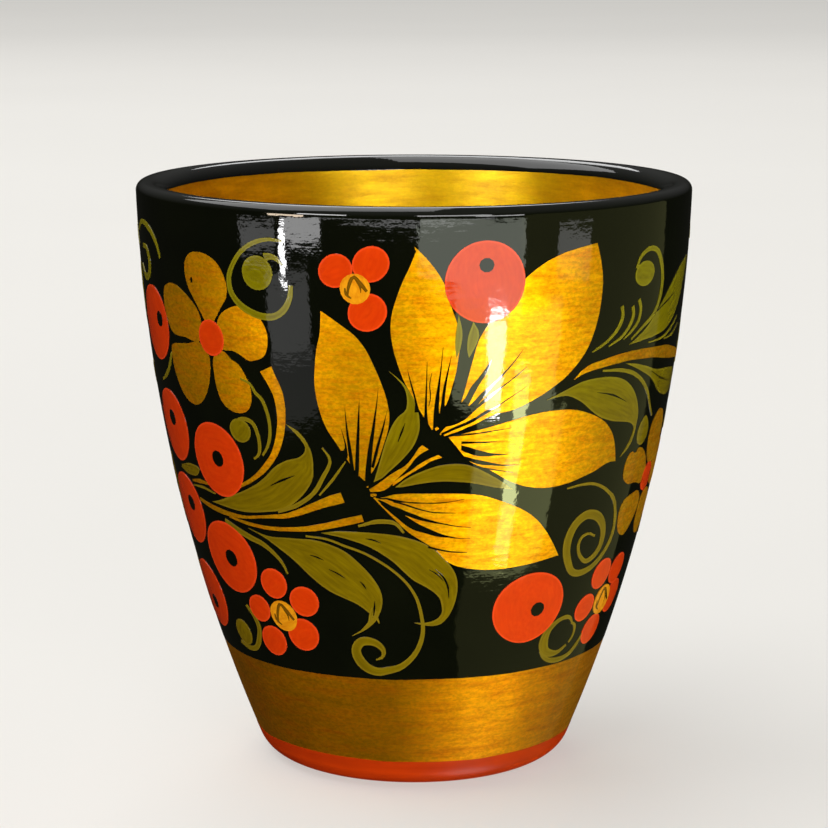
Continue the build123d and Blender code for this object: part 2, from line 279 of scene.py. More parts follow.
def turned_paint(name, dark, light):
    """Oil paint banded on while the cup turned."""
    nodes = Nodes(name)
    bands = nodes.noise(700, stretch=(0.06, 0.06, 1), detail=4, seed=5.2)
    cloud = nodes.noise(260, detail=3, seed=4.4)
    colour = nodes.ramp(bands, (0.3, dark), (0.7, light))
    colour = nodes.shaded(colour, nodes.ramp(cloud, (0.25, 0.86), (0.7, 1.0)))
    normal = nodes.bump((bands, 0.01), *turning_bumps(nodes))
    nodes.set(Base_Color=colour, Roughness=nodes.ramp(bands, (0.3, 0.5), (0.7, 0.4)), Normal=normal)
    lacquer(nodes, normal, 0.3, 0.4)
    return nodes.material


def linden_wood():
    nodes = Nodes("linden_wood")
    rings = nodes.noise(70, stretch=(1, 1, 0.12), detail=6, seed=9.1)
    colour = nodes.ramp(rings, (0.35, srgb(196, 160, 112)), (0.65, srgb(226, 198, 152)))
    nodes.set(Base_Color=colour, Roughness=0.6, Normal=nodes.bump((rings, 0.02)))
    return nodes.material


BLACK = black_lacquer()
GOLD_BAND = gold(
    "gold_ground", srgb(208, 118, 2), srgb(246, 165, 4), grain=900, height=0.014, mottle=0.76, roughness=0.46
)
GOLD_LINING = gold(
    "gold_lining", srgb(228, 170, 4), srgb(253, 208, 10),
    grain=700, height=0.014, mottle=0.92, roughness=0.4, gloss=0.28,
)
GOLD_PAINT = gold("gold_ornament", srgb(232, 142, 2), srgb(252, 185, 3), grain=1500, height=0.012, mottle=0.74)
RED = paint("vermilion", srgb(200, 49, 4), srgb(212, 61, 6), rim=0.5)
FOOT_RED = turned_paint("foot_red", srgb(160, 40, 2), srgb(182, 52, 3))
GREEN = paint("olive_green", srgb(99, 89, 1), srgb(127, 118, 2), rim=0.35, low_tint=(0.92, 0.73, 1.0, 1.0))
AMBER = paint("amber", srgb(204, 116, 10), srgb(232, 158, 22))
UMBER = paint("umber", srgb(84, 52, 4), srgb(124, 82, 8))
WOOD = linden_wood()

# ---------------------------------------------------------------- pieces

SAME_PLACE = 2e-7  # metres within which points are joined
NO_LENGTH = 1e-7  # metres under which an edge is no edge
SHARP = math.radians(50)


def put(name, data):
    """A new object in the scene."""
    made = bpy.data.objects.new(name, data)
    scene.collection.objects.link(made)
    return made


def solid(name, vertices, faces):
    """An object with a new mesh."""
    mesh = bpy.data.meshes.new(name)
    mesh.from_pydata(vertices, [], faces)
    return put(name, mesh)


def tidy_mesh(mesh):
    """Joins points that fall together on the axis, points every face outwards and smooths the shading."""
    work = bmesh.new()
    work.from_mesh(mesh)
    bmesh.ops.remove_doubles(work, verts=work.verts, dist=SAME_PLACE)
    bmesh.ops.dissolve_degenerate(work, edges=work.edges, dist=NO_LENGTH)
    bmesh.ops.recalc_face_normals(work, faces=work.faces)
    work.to_mesh(mesh)
    work.free()
    mesh.shade_smooth()
    mesh.set_sharp_from_angle(angle=SHARP)


def dress(piece, material, slot, *nodes):
    """Cleans a piece's mesh, gives it its material, hangs it from the root and hides the model's parts that it
    stands for.
    """
    tidy_mesh(piece.data)
    piece.data.materials.append(material)
    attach(piece, "root")
    if nodes:
        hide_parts(*nodes)


# ---------------------------------------------------------------- turned pieces


def rounding(centre, radius, start, end, count=14):
    """Points of an arc in the half-section: angles in degrees from outwards, upwards positive."""
    angles = np.radians(np.linspace(start, end, count))
    return [(centre[0] + radius * math.cos(a), centre[1] + radius * math.sin(a)) for a in angles]


def rounding_centre(height, depth):
    """Centre of a rounding, from its height and its distance under the side."""
    return (float(side_radius(height, depth)), height)


def slope(centre):
    """Angle of the side's normal where a rounding with this centre meets it."""
    return math.degrees(math.atan2(centre[1] - BOW_HEIGHT, centre[0] - BOW_CENTRE))


def wall_points(low, high, depth, step=1.0):
    """Points up the side, or up a line a depth under it."""
    heights = np.linspace(low, high, max(2, round((high - low) / step) + 1)).round(4)
    return [(float(side_radius(height, depth)), height) for height in heights]


def level(start, end, height):
    """Points of a flat floor in the half-section."""
    return [(radius, height) for radius in np.linspace(start, end, 12)]


def shell(line):
    """Closed half-section of a coat: the visible line, and the same line moved into the wood, to its left."""
    line = np.array(line)
    along = np.gradient(line, axis=0)
    along /= np.linalg.norm(along, axis=1)[:, None]
    inner = line + np.stack([along[:, 1], -along[:, 0]], axis=1) * -COAT
    inner[:, 0] = np.maximum(inner[:, 0], 0.0)
    return np.concatenate([line, inner[::-1]])


def wave(angle, seed):
    """A hand-held brush's slow waver, about -1 to 1, round the cup."""
    source = random.Random(seed)
    total = 0.0
    for turns in (2, 3, 5, 8, 13, 21):
        total += math.sin(turns * angle + source.uniform(0, 6.283)) / (1.2 + turns * 0.12)
    return total / 2.5


def lathe(name, line, edge):
    """Turns a coat round Z.

    Its edge is None, or (tip, waver, seed) where a brushed edge wavers: the tip is the first or last point of
    the visible line (0 or -1) and the waver is in mm.
    """
    section = shell(line)
    count = len(section)
    rings = []
    for i in range(TURNS):
        angle = 2 * math.pi * i / TURNS
        ring = section.copy()
        if edge is not None:
            tip, waver, seed = edge
            tip, near = (0, 1) if tip == 0 else (len(line) - 1, len(line) - 2)
            step = section[tip] - section[near]
            ring[[tip, count - 1 - tip]] += step / np.linalg.norm(step) * waver * wave(angle, seed)
        flat = ring[:, 0]
        rings.append(np.stack([flat * math.sin(angle), -flat * math.cos(angle), ring[:, 1]], axis=1))
    faces = []
    for i in range(TURNS):
        here = i * count
        there = (i + 1) % TURNS * count
        for j in range(count):
            k = (j + 1) % count
            faces.append((here + j, there + j, there + k, here + k))
    return solid(name, (np.concatenate(rings) * MM).tolist(), faces)


FOOT = rounding_centre(FOOT_ROUNDING, FOOT_ROUNDING)
LIP_OUT = rounding_centre(HEIGHT - LIP_OUTER_ROUNDING, LIP_OUTER_ROUNDING)
LIP_IN = rounding_centre(HEIGHT - LIP_INNER_ROUNDING, WALL - LIP_INNER_ROUNDING)
CORNER = rounding_centre(FLOOR_HEIGHT + FLOOR_ROUNDING, WALL + FLOOR_ROUNDING)

lip_line_angle = 180 - math.degrees(math.asin((LINING_TOP - LIP_IN[1]) / LIP_INNER_ROUNDING))
foot = rounding(FOOT, FOOT_ROUNDING, -90, slope(FOOT))
lip_outer = rounding(LIP_OUT, LIP_OUTER_ROUNDING, slope(LIP_OUT), 90)
lip_inner = rounding(LIP_IN, LIP_INNER_ROUNDING, 90, lip_line_angle)
lip_lining = rounding(
    LIP_IN, LIP_INNER_ROUNDING - GROUND_DEPTH, lip_line_angle - HIDDEN_LINING, 180 + slope(LIP_IN), 8
)
corner = rounding(CORNER, FLOOR_ROUNDING, slope(CORNER), -90)

field_line = wall_points(GOLD_BAND_TOP, FIELD_TOP, 0)
band_line = wall_points(RED_TOP - HIDDEN_EDGE, GOLD_BAND_TOP + HIDDEN_EDGE, GROUND_DEPTH)
foot_line = foot[:-1] + wall_points(foot[-1][1], RED_TOP, 0, step=0.5)
rim_line = wall_points(FIELD_TOP, lip_outer[0][1], 0, step=0.4)[:-1] + lip_outer + lip_inner
lining_line = (
    lip_lining[:-1]
    + wall_points(corner[0][1], lip_lining[-1][1], WALL - GROUND_DEPTH)[::-1]
    + corner[1:]
    + level(corner[-1][0], 0, FLOOR_HEIGHT)[1:]
)
underside_line = (
    level(0, RECESS_RADIUS - RECESS_EDGE, RECESS_DEPTH)
    + rounding((RECESS_RADIUS - RECESS_EDGE, RECESS_DEPTH - RECESS_EDGE), RECESS_EDGE, 90, 15, 6)[1:]
    + rounding((RECESS_RADIUS + 2 * RECESS_LIP, RECESS_LIP), RECESS_LIP, 180, 270, 6)
    + [(FOOT[0], 0.0)]
)

for name, line, edge, material, slot, node in (
    ("black_field_coat", field_line, (0, 0.16, 11), BLACK, "black_lacquer", "black_field"),
    ("gold_base_band", band_line, None, GOLD_BAND, "gold_ground", "gold_ground"),
    ("red_foot", foot_line, (-1, 0.2, 12), FOOT_RED, "foot_red", "red_foot_band"),
    ("black_rim", rim_line, (-1, 0.12, 13), BLACK, "black_lacquer", "rim_band"),
    ("gold_inside", lining_line, None, GOLD_LINING, "gold_lining", "gold_lining"),
    ("black_underside", underside_line, None, BLACK, "black_lacquer", "underside_coat"),
):
    dress(lathe(name, line, edge), material, slot, node)
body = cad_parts["turned_body"]
body.data.materials.clear()
body.data.materials.append(WOOD)

# ---------------------------------------------------------------- painted films

SPACING = 0.7  # mm between the points of an outline
STROKE_SPACING = 0.45  # mm between the points along a stroke
FINE_STEP = 0.12  # mm between the points that a smooth curve is worked out at
FILM_BACK = -0.05  # how far a film reaches under the side, mm
FILM_STEP = 0.0012  # mm by which each next film lies higher, so that none share a surface
FILM_STEPS = 12  # after this many, the films start again from the lowest
EDGE_WAVER = 0.05  # of a leaf's edges, mm
WIDTH_WAVER = 0.06  # of a stroke, as a share of its width
OUTLINE_WAVER = 0.008  # of a filled shape, as a share of its size
LEAST_HALF = 0.02  # half the width at a stroke's finest, mm
BRUSH_WIDTH = 1.5  # least width over which a stroke's streaks are spread, mm
BRUSH_START = 400  # mm of streaks from which each film takes its own
OTHER_BRUSH = (57.0, 91.0, 0.0)  # where the streaks of the second painting lie


def chart_scale(chart):
    """Length on the side of one degree and of one mm of height, near some chart places, mm."""
    return (degree_length(chart[..., 1].mean()), 1.0)


def run_along(line):
    """How far along a line each of its points is."""
    return np.concatenate([[0], np.cumsum(np.linalg.norm(np.diff(line, axis=0), axis=1))])


def resample(line, run, count):
    """The same line with another number of points, at even distances by its run."""
    at = np.linspace(0, run[-1], count)
    return np.stack([np.interp(at, run, line[:, axis]) for axis in (0, 1)], axis=1)


def curve(points, spacing=SPACING, closed=False):
    """A smooth curve through chart points, sampled evenly: rows of (azimuth, height)."""
    points = np.array(points, float).reshape(-1, 2)
    scale = chart_scale(points)
    flat = points * scale
    if closed:
        flat = np.concatenate([flat[-2:], flat, flat[:3]])
    steps = np.maximum(np.linalg.norm(np.diff(flat, axis=0), axis=1), 1e-6)
    slopes = np.diff(flat, axis=0) / steps[:, None]
    tangents = np.empty_like(flat)
    tangents[0] = slopes[0]
    tangents[-1] = slopes[-1]
    weight = (steps[:-1] / (steps[:-1] + steps[1:]))[:, None]
    tangents[1:-1] = slopes[:-1] * (1 - weight) + slopes[1:] * weight
    fine = []
    spans = range(2, len(flat) - 3) if closed else range(len(flat) - 1)
    for i in spans:
        count = max(2, int(math.ceil(steps[i] / FINE_STEP)))
        t = np.linspace(0, 1, count, endpoint=False)[:, None]
        fine.append(
            (2 * t**3 - 3 * t**2 + 1) * flat[i]
            + (t**3 - 2 * t**2 + t) * steps[i] * tangents[i]
            + (-2 * t**3 + 3 * t**2) * flat[i + 1]
            + (t**3 - t**2) * steps[i] * tangents[i + 1]
        )
    fine.append(flat[2:3] if closed else flat[-1:])
    fine = np.concatenate(fine)
    run = run_along(fine)
    return resample(fine, run, max(4, int(math.ceil(run[-1] / spacing)) + 1)) / scale


def evenly(line, count):
    """The same chart line with another number of points, evenly spaced on the cup."""
    return resample(line, run_along(line * chart_scale(line)), count)


class Films:
    """One piece: thin closed films of one paint on the side, painted again half a turn round.

    The lift is how far the first film stands out from the side, mm. Lines are given as azimuth, height,
    azimuth, height and so on.
    """

    def __init__(self, name, lift, seed):
        self.name = name
        self.lift = lift
        self.random = random.Random(seed)
        self.vertices = []
        self.faces = []
        self.brush = []
        self.count = 0
        self.painted = 0

    def waver(self, count, size, waves=3):
        """Small smooth deviations, mm, as of a hand-held brush."""
        t = np.linspace(0, 2 * math.pi, count)
        total = np.zeros(count)
        for turn in range(1, waves + 1):
            total += np.sin(turn * t * 2 + self.random.uniform(0, 6.28)) * self.random.uniform(0.3, 1) / turn
        return total * size

    def film(self, chart, brush, faces):
        """Adds a film: its chart points, what the brush did at each, and its upper faces."""
        start = self.count
        size = len(chart)
        lift = self.lift + FILM_STEP * (self.painted % FILM_STEPS)
        self.painted += 1
        for height in (lift, FILM_BACK):
            self.vertices.append(on_side(chart[:, 0], chart[:, 1], np.full(size, height))[0])
            self.brush.append(brush)
        sides = {}
        for face in faces:
            self.faces.append(tuple(start + i for i in face))
            self.faces.append(tuple(start + size + i for i in reversed(face)))
            for i, j in zip(face, face[1:] + face[:1]):
                if (j, i) in sides:
                    del sides[(j, i)]
                else:
                    sides[(i, j)] = True
        for i, j in sides:
            self.faces.append((start + j, start + i, start + size + i, start + size + j))
        self.count += 2 * size

    def grid(self, rows):
        """A film from rows of chart points, along the stroke and across it."""
        along, across = rows.shape[:2]
        flat = rows * chart_scale(rows)
        run = run_along(flat[:, across // 2])
        start = self.random.uniform(0, BRUSH_START)
        width = np.linalg.norm(flat[:, -1] - flat[:, 0], axis=1)
        share = np.linspace(-0.5, 0.5, across)
        brush = np.zeros((along, across, 3))
        brush[..., 0] = run[:, None] + start
        brush[..., 1] = share[None] * np.maximum(width, BRUSH_WIDTH)[:, None] + start
        brush[..., 2] = (0.5 - np.abs(share))[None] * width[:, None]
        faces = []
        for i in range(along - 1):
            for j in range(across - 1):
                k = i * across + j
                faces.append((k, k + 1, k + across + 1, k + across))
        self.film(rows.reshape(-1, 2), brush.reshape(-1, 3), faces)

    def leaf(self, one, other, across=9):
        """A shape between two edges that run from its root to its tip."""
        first = curve(one)
        second = curve(other)
        count = max(len(first), len(second))
        side = np.sin(np.linspace(0, math.pi, count))
        first = evenly(first, count)
        second = evenly(second, count)
        first[:, 1] += self.waver(count, EDGE_WAVER) * side
        second[:, 1] += self.waver(count, EDGE_WAVER) * side
        share = np.linspace(0, 1, across)[None, :, None]
        self.grid(first[:, None] * (1 - share) + second[:, None] * share)

    def stroke(self, points, widths, across=5):
        """A brush stroke along a line, with its width in mm at even distances along it."""
        line = curve(points, STROKE_SPACING)
        count = len(line)
        scale = chart_scale(line)
        flat = line * scale
        direction = np.gradient(flat, axis=0)
        direction /= np.maximum(np.linalg.norm(direction, axis=1), 1e-9)[:, None]
        right = np.stack([direction[:, 1], -direction[:, 0]], axis=1)
        half = np.interp(np.linspace(0, 1, count), np.linspace(0, 1, len(widths)), widths) / 2
        half = np.maximum(half * (1 + self.waver(count, WIDTH_WAVER, 5)), LEAST_HALF)
        share = np.linspace(-1, 1, across)[None, :, None]
        self.grid((flat[:, None] + right[:, None] * half[:, None, None] * share) / scale)

    def blob(self, outline, centre=None, rings=6, smooth=True, stroke_angle=0.0):
        """A filled shape round a centre, from its outline."""
        edge = curve(outline, closed=True)[:-1] if smooth else outline
        scale = chart_scale(edge)
        middle = edge.mean(axis=0) if centre is None else np.array(centre, float)
        count = len(edge)
        wobble = np.interp(np.arange(count), [0, count / 2, count], [0, 1, 0])
        edge = middle + (edge - middle) * (1 + self.waver(count, OUTLINE_WAVER) * wobble)[:, None]
        shares = np.linspace(0, 1, rings + 1)[1:]
        chart = np.concatenate([middle[None]] + [middle + (edge - middle) * share for share in shares])
        flat = (chart - middle) * scale
        start = self.random.uniform(0, BRUSH_START)
        turned = math.radians(stroke_angle)
        brush = np.zeros((len(chart), 3))
        brush[:, 0] = flat[:, 0] * math.cos(turned) + flat[:, 1] * math.sin(turned) + start
        brush[:, 1] = flat[:, 1] * math.cos(turned) - flat[:, 0] * math.sin(turned) + start
        reach = np.linalg.norm((edge - middle) * scale, axis=1)
        brush[0, 2] = reach.mean()
        brush[1:, 2] = ((1 - shares)[:, None] * reach[None]).ravel()
        faces = [(0, 1 + i, 1 + (i + 1) % count) for i in range(count)]
        for ring in range(rings - 1):
            inner = 1 + ring * count
            outer = inner + count
            for i in range(count):
                j = (i + 1) % count
                faces.append((inner + i, outer + i, outer + j, inner + j))
        self.film(chart, brush, faces)

    def disc(self, centre, radius, height=None, rings=6, lean=0.0):
        """A round or oval spot, radius across and height up, in mm."""
        height = radius if height is None else height
        count = max(10, int(2 * math.pi * max(radius, height) / SPACING))
        angles = np.arange(count) * 2 * math.pi / count
        x = np.cos(angles) * radius
        y = np.sin(angles) * height + lean * x
        outline = np.stack([centre[0] + x / degree_length(centre[1]), centre[1] + y], axis=1)
        self.blob(outline, centre, rings, smooth=False, stroke_angle=self.random.uniform(0, 180))

    def piece(self, material, slot, *nodes):
        """Makes the piece, with every film on both sides of the cup."""
        half = np.concatenate(self.vertices)
        back = half * (-1, -1, 1)
        brush = np.concatenate(self.brush)
        count = len(half)
        faces = self.faces + [tuple(i + count for i in face) for face in self.faces]
        made = solid(self.name, np.concatenate([half, back]).tolist(), faces)
        attribute = made.data.attributes.new("stroke", "FLOAT_VECTOR", "POINT")
        both = np.concatenate([brush, brush + OTHER_BRUSH])
        attribute.data.foreach_set("vector", both.astype(np.float32).ravel())
        dress(made, material, slot, *nodes)


# ---------------------------------------------------------------- the ornament

gold_leaves = Films("gold_leaves_paint", lift=0.045, seed=21)
gold_leaves.leaf(
    [-11.9, 49.3, -13.2, 50.6, -14.9, 52.2, -16.5, 54, -18, 55.5, -19.2, 57.5, -20, 59.8, -20.3, 62,
     -20, 64.5, -19.5, 67, -18.7, 69, -18.3, 72.3],
    [-10.5, 48.5, -9, 49.7, -7.8, 51, -7.1, 52.2, -6.2, 54, -5.3, 56, -5, 58, -5.4, 60, -6.5, 62.5, -8, 65,
     -10, 67.7, -12, 69.3, -14, 70.3, -16, 71.3, -18.3, 72.3],
)
gold_leaves.leaf(
    [3.6, 56, 2.8, 57, 1.8, 58, 0.8, 59.2, -0.3, 60.7, -1.8, 62.6, -3, 64.8, -4, 67.2, -4.5, 69.5, -4.3, 72,
     -3.5, 74, -2.2, 76.5, -1, 78.3, 0, 80, 0.4, 80.9, 0.1, 81.3],
    [3.8, 56, 4.6, 57.4, 5.3, 58.6, 6.3, 59.3, 7, 60.5, 7.6, 62, 8.3, 64, 8.7, 66, 9, 68, 8.5, 70.5, 7.2, 73,
     5.7, 76.3, 3, 79.2, 1.2, 80.6, 0.1, 81.3],
)
gold_leaves.leaf(
    [9.5, 59.8, 10, 61, 10.7, 63, 11.7, 65.8, 12.8, 68.5, 15, 71, 19, 74, 21.3, 76.3, 24, 77.8, 27, 79,
     30, 79.8, 33, 80.3, 37.9, 80.8],
    [9.5, 59.8, 12, 59, 15, 58.1, 18, 58.1, 21, 58.5, 24, 59.3, 26, 59.9, 29, 61, 32, 62.3, 35, 64.2, 37, 66,
     38.6, 68.5, 39.5, 71, 39.9, 74, 39.8, 76, 39, 78.5, 37.9, 80.8],
    across=13,
)
gold_leaves.leaf(
    [7.1, 54.9, 9, 55.1, 11, 55.45, 14.6, 55.95, 20, 56.8, 24, 57.4, 28, 57.7, 33, 57.65, 37, 57.25, 40, 56.6,
     42, 56, 44, 55.3, 46, 54.3, 48, 52.8, 49.2, 51.3, 50, 49.8, 50.5, 48.7],
    [7.3, 54.7, 8.7, 53.6, 10.1, 52.4, 11.5, 51.4, 14.5, 50.4, 16, 50, 18, 49.2, 20, 48.4, 22, 47.8, 24, 47.3,
     28, 46.75, 32, 46.55, 36, 46.8, 40, 47.35, 44, 48, 46, 48.5, 48, 48.8, 50.5, 48.7],
)
gold_leaves.leaf(
    [-8.6, 46.15, -7.2, 46.1, -6, 46.3, -4.5, 46.6, -2, 46.75, 2, 46.75, 6, 46.75, 10, 46.7, 14, 46.4,
     18, 45.6, 22, 44.5, 26, 43.2, 29, 41.8, 31.5, 40.2, 34, 38.2, 36.5, 36],
    [-8.8, 46.05, -8, 45.5, -6, 44.1, -4, 42.8, -2, 41.5, 0, 40.5, 2, 39.7, 4, 38.9, 5.5, 38.2, 6.8, 37.1,
     8.5, 36.3, 11, 35.7, 14, 35.25, 20, 35, 28, 35.3, 36.5, 36],
    across=13,
)
gold_leaves.piece(GOLD_PAINT, "gold_ornament", "gold_leaves")

gold_stems = Films("gold_stems_paint", lift=0.045, seed=22)
for one, other in (
    ([-9.6, 47.3, -8, 48, -6, 49, -4, 50, -3, 50.3, -2, 50.7, -1, 51.4, 0, 52.3, 1, 53.4, 1.7, 53.8],
     [-9.4, 46.95, -8, 47, -6.5, 47.2, -5.3, 47.7, -4.5, 48.3, -3.5, 49, -2.5, 49.7, -1.7, 50.2, -0.8, 50.9,
      0.2, 51.8, 1.5, 52.6, 3, 53.2]),
    ([-4.6, 48.3, -3, 49.1, -1.2, 49.9, 0, 50.5, 2, 51.4, 4, 52.1, 5, 52.35],
     [-4.5, 47.9, -3, 48.6, -1.5, 49.35, 0, 50, 2, 50.85, 4, 51.6, 5.9, 52]),
    ([5.3, 55.4, 6, 56, 6.7, 56.45, 7.6, 56.5, 9.5, 57, 11.2, 57.75, 12.5, 58.6, 14, 59.35, 16, 60.3],
     [5.4, 55.2, 7, 55.9, 8, 56.25, 9.7, 56.7, 11.4, 57.2, 13, 57.8, 14.6, 58.4, 16, 58.9, 17.5, 59.5]),
    ([6.1, 55.25, 8, 55.85, 9.7, 56.3, 11.4, 56.8, 14.6, 57.95, 17, 58.7],
     [6.2, 55.05, 8, 55.45, 9.5, 55.8, 12.5, 56.65, 16, 57.75, 18, 58.15]),
):
    gold_stems.leaf(one, other, across=5)
for points, widths in (
    ([-9.4, 46.5, -8.9, 46.45, -8.1, 46.55], (0.3, 0.6, 0.2)),
    ([-10, 47.6, -9.6, 49, -9, 50.6], (0.2, 0.25, 0.2)),
    ([4.5, 56.3, 4.8, 56], (0.4, 0.5)),
    ([-60, 42, -54, 41.4, -48, 41.1, -42, 41.2, -38, 41.6, -34, 42, -30, 42.4, -26, 43.3, -22, 44.4,
      -18.5, 45.3, -15.7, 45.9],
     (0.5, 0.7, 0.8, 0.6, 0.4, 0.4, 0.6, 0.8, 1.0, 1.2, 1.5)),
    ([-48, 40.7, -42, 40.3, -36, 40.15, -30, 40.4, -25, 40.8, -20, 41.5, -15.5, 42.3, -11.4, 43],
     (0.3, 0.45, 0.5, 0.6, 0.7, 0.85, 1.0, 1.1)),
    ([-46, 45, -42, 45.9, -38, 47.2, -34, 49.2, -31, 51.5, -29.3, 54, -28.4, 57, -28.7, 60, -31.2, 63.6],
     (0.3, 0.5, 0.65, 0.9, 1.0, 1.2, 1.4, 1.6, 2.0)),
    ([-62, 44.6, -58, 44.9, -54, 44.9], (0.3, 0.6, 0.3)),
):
    gold_stems.stroke(points, widths)
gold_stems.leaf(
    [36, 63, 38, 63.7, 42, 64.2, 46, 64.6, 50, 64.7, 56, 64.6, 62, 64.4, 68, 64, 73, 63.3, 78, 62.5,
     84, 61.3],
    [34.3, 61.9, 37, 62.6, 42, 63.1, 48, 63.4, 54, 63.3, 60, 62.9, 66, 62.3, 72, 61.7, 78, 61.2, 84, 60.9],
    across=5,
)
gold_stems.piece(GOLD_PAINT, "gold_ornament", "gold_stems")

gold_petals = Films("gold_petals_paint", lift=0.045, seed=23)
for centre, outline in (
    ((-45.7, 74),
     [-47, 79, -44.5, 78.7, -42, 77.8, -40.2, 76, -39.6, 74.5, -40, 73, -41.7, 71.5, -43.2, 70.1, -44.6, 69.1,
      -46.2, 69.2, -48.1, 70.8, -49.9, 72.4, -51.3, 73.7, -52.2, 75.5, -52, 77.3, -50.5, 78.5]),
    ((-36, 68.2),
     [-42.3, 70.3, -40.5, 71.3, -38, 72, -36, 72.3, -33.5, 71.6, -31.5, 70.5, -30.3, 68.8, -30.3, 67.2,
      -31.5, 65.3, -33.5, 64.7, -35.3, 64.5, -37, 65.1, -39, 65.6, -42.4, 65.7, -43.4, 67.8]),
    ((-40.5, 60.8),
     [-42.4, 65.5, -41, 65, -39.8, 64.3, -38.5, 64, -36.7, 62.5, -35.5, 60.5, -35.7, 58.5, -37, 57.2,
      -39.5, 56.7, -42, 57, -44, 58, -45.2, 60, -45.5, 62, -45.3, 64, -44, 65.2]),
    ((-53.5, 61.5),
     [-46.5, 64.3, -46.5, 63, -47.5, 60.5, -49, 58.7, -51, 57.3, -54, 56.7, -57, 57.3, -60, 59.5, -61.3, 62,
      -60.5, 64.8, -58, 65.2, -54, 65.5, -49, 66]),
    ((-55.5, 70),
     [-49, 66.3, -54, 66.4, -60, 66.9, -61.8, 69, -62.3, 71, -61.5, 73, -59, 73.8, -56, 73.7, -53.5, 73,
      -51, 72, -48.7, 70.5, -48, 68.3]),
    ((61.2, 46.9),
     [55, 47.5, 56.5, 49.3, 58, 49.3, 59, 48.9, 60, 49.6, 62, 49.5, 64, 48.7, 66.5, 47, 67.5, 45.2, 66, 43.8,
      62, 44.3, 57.5, 44.6, 55, 46]),
    ((62, 40), [57, 41, 57, 39, 59, 37, 62, 36.3, 66, 38, 68, 41, 66, 42.5, 61, 42.5, 58, 42]),
    ((71.3, 50),
     [68.5, 46.6, 66, 48.6, 65.4, 51, 66.8, 53.3, 69.5, 54.3, 73, 53.9, 76, 52, 76.5, 49.5, 74.5, 47,
      71.5, 46.2]),
    ((78.5, 46),
     [73.3, 45.5, 75, 47.5, 78, 49, 81.5, 48.5, 83.5, 46.5, 83, 44, 80.5, 42.4, 77, 42.2, 74, 43.3]),
    ((73.5, 38.8),
     [70.5, 42, 73.5, 42.2, 76.5, 41.4, 78.6, 39.5, 78, 37, 75.5, 35.4, 72, 35.4, 69.4, 37, 69, 39.6]),
):
    gold_petals.blob(outline, centre=centre, rings=7)
gold_petals.piece(GOLD_PAINT, "gold_ornament", "gold_petals")

